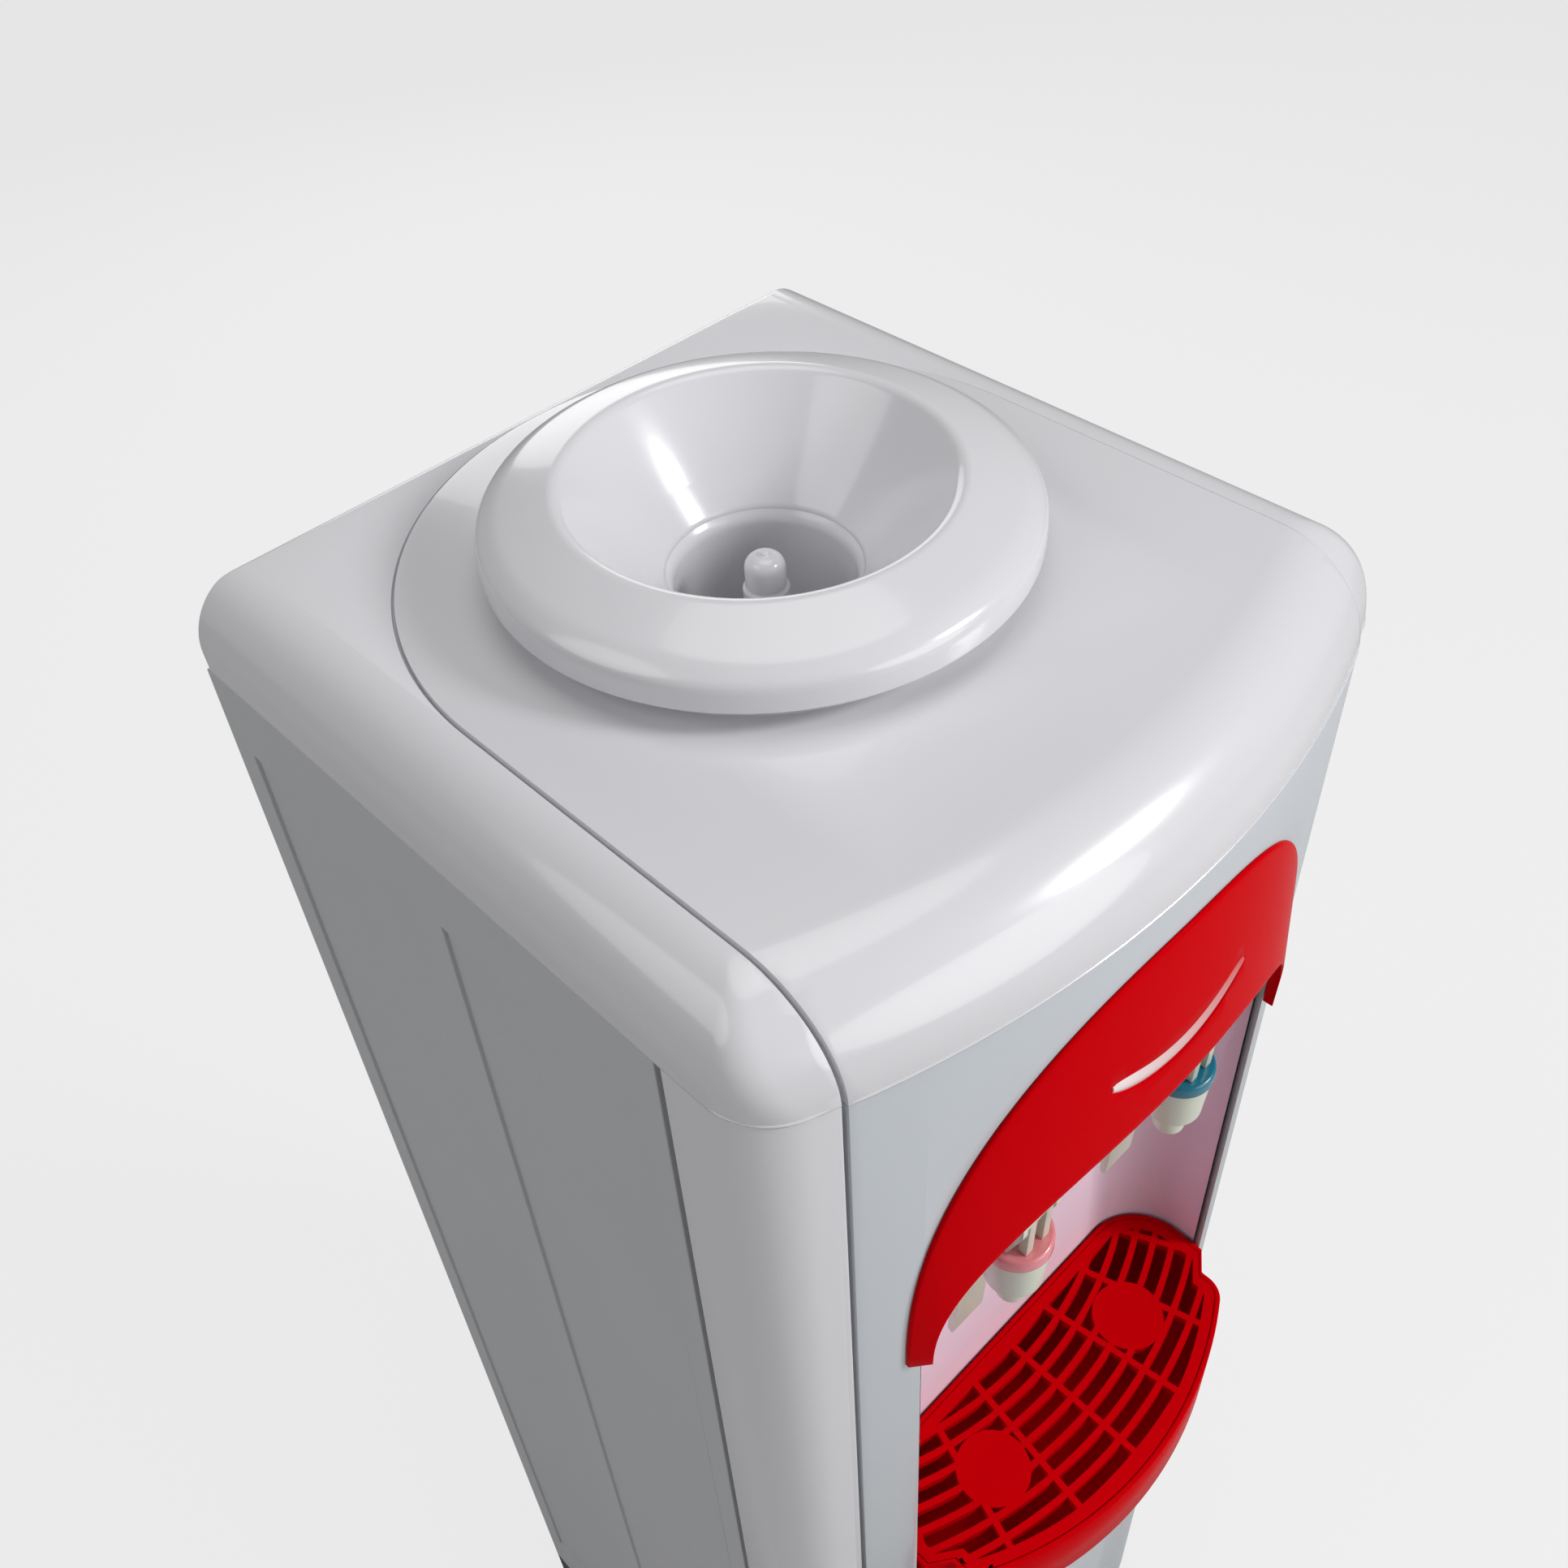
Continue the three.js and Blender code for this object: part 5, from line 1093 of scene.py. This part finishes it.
class Finish:
    """One material under construction: its shader, its place on the object and its effects."""

    def __init__(self, name, tone, **constants):
        material = bpy.data.materials.new(name + "_finish")
        material.use_nodes = True
        self.tree = material.node_tree
        self.shader = self.tree.nodes["Principled BSDF"]
        self.tone = (*tone, 1)
        self.place = self.tree.nodes.new("ShaderNodeTexCoord").outputs["Object"]
        material.diffuse_color = self.tone
        for label, value in constants.items():
            self.shader.inputs[label.replace("_", " ")].default_value = value

    def group(self, name, vector=None, **values):
        node = self.tree.nodes.new("ShaderNodeGroup")
        node.node_tree = bpy.data.node_groups[name]
        self.tree.links.new(vector or self.place, node.inputs["Vector"])
        for label, value in values.items():
            node.inputs[label].default_value = value
        return node

    def stretched(self, x, y, z):
        node = self.tree.nodes.new("ShaderNodeMapping")
        node.inputs["Scale"].default_value = (x, y, z)
        self.tree.links.new(self.place, node.inputs["Vector"])
        return node.outputs[0]

    def coloured(self, size, amount, vector=None):
        node = self.group("Mottled tone", vector, Color=self.tone, Size=size, Amount=amount)
        self.tree.links.new(node.outputs["Color"], self.shader.inputs["Base Color"])
        return self

    def grained(self, size, height, rough, spread, vector=None):
        node = self.group("Fine grain", vector, Size=size, Roughness=rough, Spread=spread)
        self.tree.links.new(node.outputs["Roughness"], self.shader.inputs["Roughness"])
        self.bumped(node.outputs["Height"], height)
        return self

    def celled(self, size, amount, height):
        node = self.group("Cells", Color=self.tone, Size=size, Amount=amount)
        self.tree.links.new(node.outputs["Color"], self.shader.inputs["Base Color"])
        if height:
            self.bumped(node.outputs["Height"], height)
        return self

    def painted_highlight_fade(self, far_tone, start, end):
        """The colour passes into another one along X: a painted highlight at the near end that fades into the
        far tone.
        """
        parts = self.tree.nodes.new("ShaderNodeSeparateXYZ")
        self.tree.links.new(self.place, parts.inputs[0])
        span = self.tree.nodes.new("ShaderNodeMapRange")
        self.tree.links.new(parts.outputs["X"], span.inputs["Value"])
        span.inputs["From Min"].default_value, span.inputs["From Max"].default_value = start, end
        blend = self.tree.nodes.new("ShaderNodeMix")
        blend.data_type = "RGBA"
        self.tree.links.new(span.outputs["Result"], blend.inputs["Factor"])
        blend.inputs["A"].default_value = self.tone
        blend.inputs["B"].default_value = (*far_tone, 1)
        self.tree.links.new(blend.outputs["Result"], self.shader.inputs["Base Color"])
        return self

    def bumped(self, height, distance):
        bump = self.tree.nodes.new("ShaderNodeBump")
        bump.inputs["Strength"].default_value = 0.5
        bump.inputs["Distance"].default_value = distance * mm
        self.tree.links.new(height, bump.inputs["Height"])
        self.tree.links.new(bump.outputs[0], self.shader.inputs["Normal"])


class DISPENSER_OT_finishes(bpy.types.Operator):
    """Plastics, paint, rubber, metals and foam"""

    bl_idname = "dispenser.finishes"
    bl_label = "Finishes"

    def execute(self, context):
        mottled_tone()
        fine_grain()
        cells()
        tone = context.scene.finish_colours
        casing = Finish("casing", tone.casing, Coat_Weight=0.3, Coat_Roughness=0.03)
        casing.coloured(5, 0.03).grained(260, 0.02, 0.2, 0.06)
        front = Finish("front", tone.front, Coat_Weight=0.3, Coat_Roughness=0.08)
        front.coloured(4, 0.04).grained(300, 0.02, 0.3, 0.08)
        Finish("panel", tone.panel).coloured(9, 0.05).grained(1500, 0.25, 0.52, 0.08)
        Finish("red", tone.red, IOR=1.04).coloured(7, 0.1).grained(220, 0.02, 0.22, 0.06)
        # The lens strip is pale at its left end and redder towards its right: a painted highlight, not the
        # strip's own colour.
        strip = Finish("lens", tone.lens, Coat_Weight=0.6).grained(500, 0.01, 0.22, 0.06)
        strip.painted_highlight_fade(tone.red, -30 * mm, 42 * mm)
        lilac = Finish("lilac", tone.lilac, Coat_Weight=0.5, Coat_Roughness=0.08)
        lilac.coloured(6, 0.08).grained(260, 0.02, 0.24, 0.1)
        Finish("cream", tone.cream, Coat_Weight=0.15).coloured(30, 0.05).grained(600, 0.03, 0.34, 0.1)
        Finish("pink", tone.pink, Coat_Weight=0.4).coloured(40, 0.06).grained(600, 0.03, 0.26, 0.1)
        Finish("teal", tone.teal, Coat_Weight=0.4).coloured(40, 0.08).grained(600, 0.03, 0.26, 0.1)
        Finish("dark", tone.dark).coloured(20, 0.15).grained(1300, 0.12, 0.5, 0.1)
        Finish("rubber", tone.rubber).coloured(30, 0.2).grained(1100, 0.1, 0.75, 0.12)
        silicone = Finish("silicone", tone.silicone, Subsurface_Weight=0.15)
        silicone.coloured(30, 0.06).grained(700, 0.04, 0.42, 0.1)
        steel = Finish("steel", tone.steel, Metallic=1.0)
        lines = steel.stretched(1, 1, 0.03)
        steel.coloured(240, 0.16, lines).grained(2400, 0.02, 0.3, 0.14, lines)
        Finish("zinc", tone.zinc, Metallic=1.0, Roughness=0.42).celled(55, 0.16, 0.03)
        Finish("aluminium", tone.aluminium, Metallic=1.0).coloured(60, 0.08).grained(1800, 0.03, 0.38, 0.1)
        Finish("foam", tone.foam, Roughness=0.9).celled(260, 0.07, 0.5)
        Finish("ceramic", tone.ceramic).coloured(9, 0.04).grained(1200, 0.05, 0.6, 0.1)
        for node, obj in nodes.items():
            material = finish_called(slot_of[node])
            for slot in obj.material_slots:
                slot.material = material
        return {"FINISHED"}


# Stage

class DISPENSER_OT_studio(bpy.types.Operator):
    """Pale floor, soft lamps and the camera"""

    bl_idname = "dispenser.studio"
    bl_label = "Studio"

    def lamp(self, name, place, target, size, power):
        nothing_selected()
        bpy.ops.object.light_add(type="AREA", location=place)
        lamp = bpy.context.object
        lamp.name = name
        lamp.data.shape, lamp.data.size, lamp.data.energy = "DISK", size, power
        lamp.rotation_euler = (Vector(target) - Vector(place)).to_track_quat("-Z", "Y").to_euler()

    def execute(self, context):
        studio = context.scene.studio_settings
        scene = context.scene
        scene.view_settings.view_transform = "Standard"
        nothing_selected()
        bpy.ops.object.camera_add(location=studio.eye, rotation=studio.turn)
        camera = bpy.context.object
        camera.name = "camera"
        camera.data.lens, camera.data.sensor_width, camera.data.shift_y = studio.lens, 36, studio.shift
        camera.data.clip_start, camera.data.clip_end = 0.01, 60
        scene.camera = camera

        nothing_selected()
        bpy.ops.mesh.primitive_plane_add(size=16)
        floor = named(bpy.context.object, "floor")
        paint = Finish("floor", studio.floor, Roughness=0.9).coloured(2, 0.01)
        floor.data.materials.append(finish_called("floor"))
        tree = paint.tree
        seen = tree.nodes.new("ShaderNodeLightPath")
        white = tree.nodes.new("ShaderNodeEmission")
        mix = tree.nodes.new("ShaderNodeMixShader")
        whitened = 0.75  # the floor's share of plain white, for the camera only
        fade = math_node(tree, "MULTIPLY", seen.outputs["Is Camera Ray"], whitened)
        tree.links.new(fade, mix.inputs[0])
        tree.links.new(paint.shader.outputs[0], mix.inputs[1])
        tree.links.new(white.outputs[0], mix.inputs[2])
        tree.links.new(mix.outputs[0], tree.nodes["Material Output"].inputs[0])

        world = bpy.data.worlds.new("studio")
        scene.world = world
        world.use_nodes = True
        tree = world.node_tree
        path = tree.nodes.new("ShaderNodeLightPath")
        mirrored = 0.25  # how bright the backdrop is in a reflection
        glossy = math_node(tree, "MULTIPLY", path.outputs["Is Glossy Ray"], mirrored)
        camera_ray, through_ray = path.outputs["Is Camera Ray"], path.outputs["Is Transmission Ray"]
        direct = math_node(tree, "MAXIMUM", camera_ray, through_ray)
        shown = math_node(tree, "MAXIMUM", direct, glossy)
        lit = math_node(tree, "MAXIMUM", shown, studio.world)
        tree.nodes["Background"].inputs[0].default_value = (1, 1, 1, 1)
        tree.links.new(lit, tree.nodes["Background"].inputs[1])

        self.lamp("overhead", (0.3, 0.2, 3.1), (0, 0, 0.9), 1.6, 11)
        self.lamp("window", (1.2, -1.7, 2.2), (0, 0, 0.8), 0.6, 30)
        self.lamp("front", (0.9, -4.2, 1.8), (0, 0, 0.7), 3.2, 68)
        self.lamp("left", (-2.4, 0.9, 2.8), (0, 0, 0.6), 2.4, 28)
        self.lamp("rear", (1.4, 2.3, 1.5), (0, 0, 0.7), 1.5, 12)
        return {"FINISHED"}


# Panel and registration

pieces = (
    DISPENSER_OT_cover,
    DISPENSER_OT_seat,
    DISPENSER_OT_columns,
    DISPENSER_OT_front,
    DISPENSER_OT_fascia,
    DISPENSER_OT_tray,
    DISPENSER_OT_taps,
    DISPENSER_OT_feet,
    DISPENSER_OT_sheets,
)
settings = {
    "cabinet_sizes": CabinetSizes,
    "seat_sizes": SeatSizes,
    "front_sizes": FrontSizes,
    "tray_tap_sizes": TrayTapSizes,
    "finish_colours": FinishColours,
    "studio_settings": StudioSettings,
}


class DISPENSER_PT_panel(bpy.types.Panel):
    """Builds the dispenser's pieces and lists its settings"""

    bl_idname = "DISPENSER_PT_panel"
    bl_label = "Water dispenser"
    bl_space_type = "VIEW_3D"
    bl_region_type = "UI"
    bl_category = "Dispenser"

    def draw(self, context):
        for operator in (DISPENSER_OT_finishes, *pieces, DISPENSER_OT_studio):
            self.layout.operator(operator.bl_idname)
        for name, group in settings.items():
            box = self.layout.box()
            for setting in group.__annotations__:
                box.prop(getattr(context.scene, name), setting)


def register():
    for kind in (*settings.values(), DISPENSER_OT_finishes, *pieces, DISPENSER_OT_studio, DISPENSER_PT_panel):
        bpy.utils.register_class(kind)
    for name, group in settings.items():
        setattr(bpy.types.Scene, name, bpy.props.PointerProperty(type=group))


def unregister():
    for name in settings:
        delattr(bpy.types.Scene, name)
    for kind in (DISPENSER_PT_panel, DISPENSER_OT_studio, *pieces, DISPENSER_OT_finishes, *settings.values()):
        bpy.utils.unregister_class(kind)


def main():
    register()
    for operator in (DISPENSER_OT_finishes, *pieces, DISPENSER_OT_studio):
        getattr(bpy.ops.dispenser, operator.bl_idname.split(".")[1])()


if __name__ == "__main__":
    main()
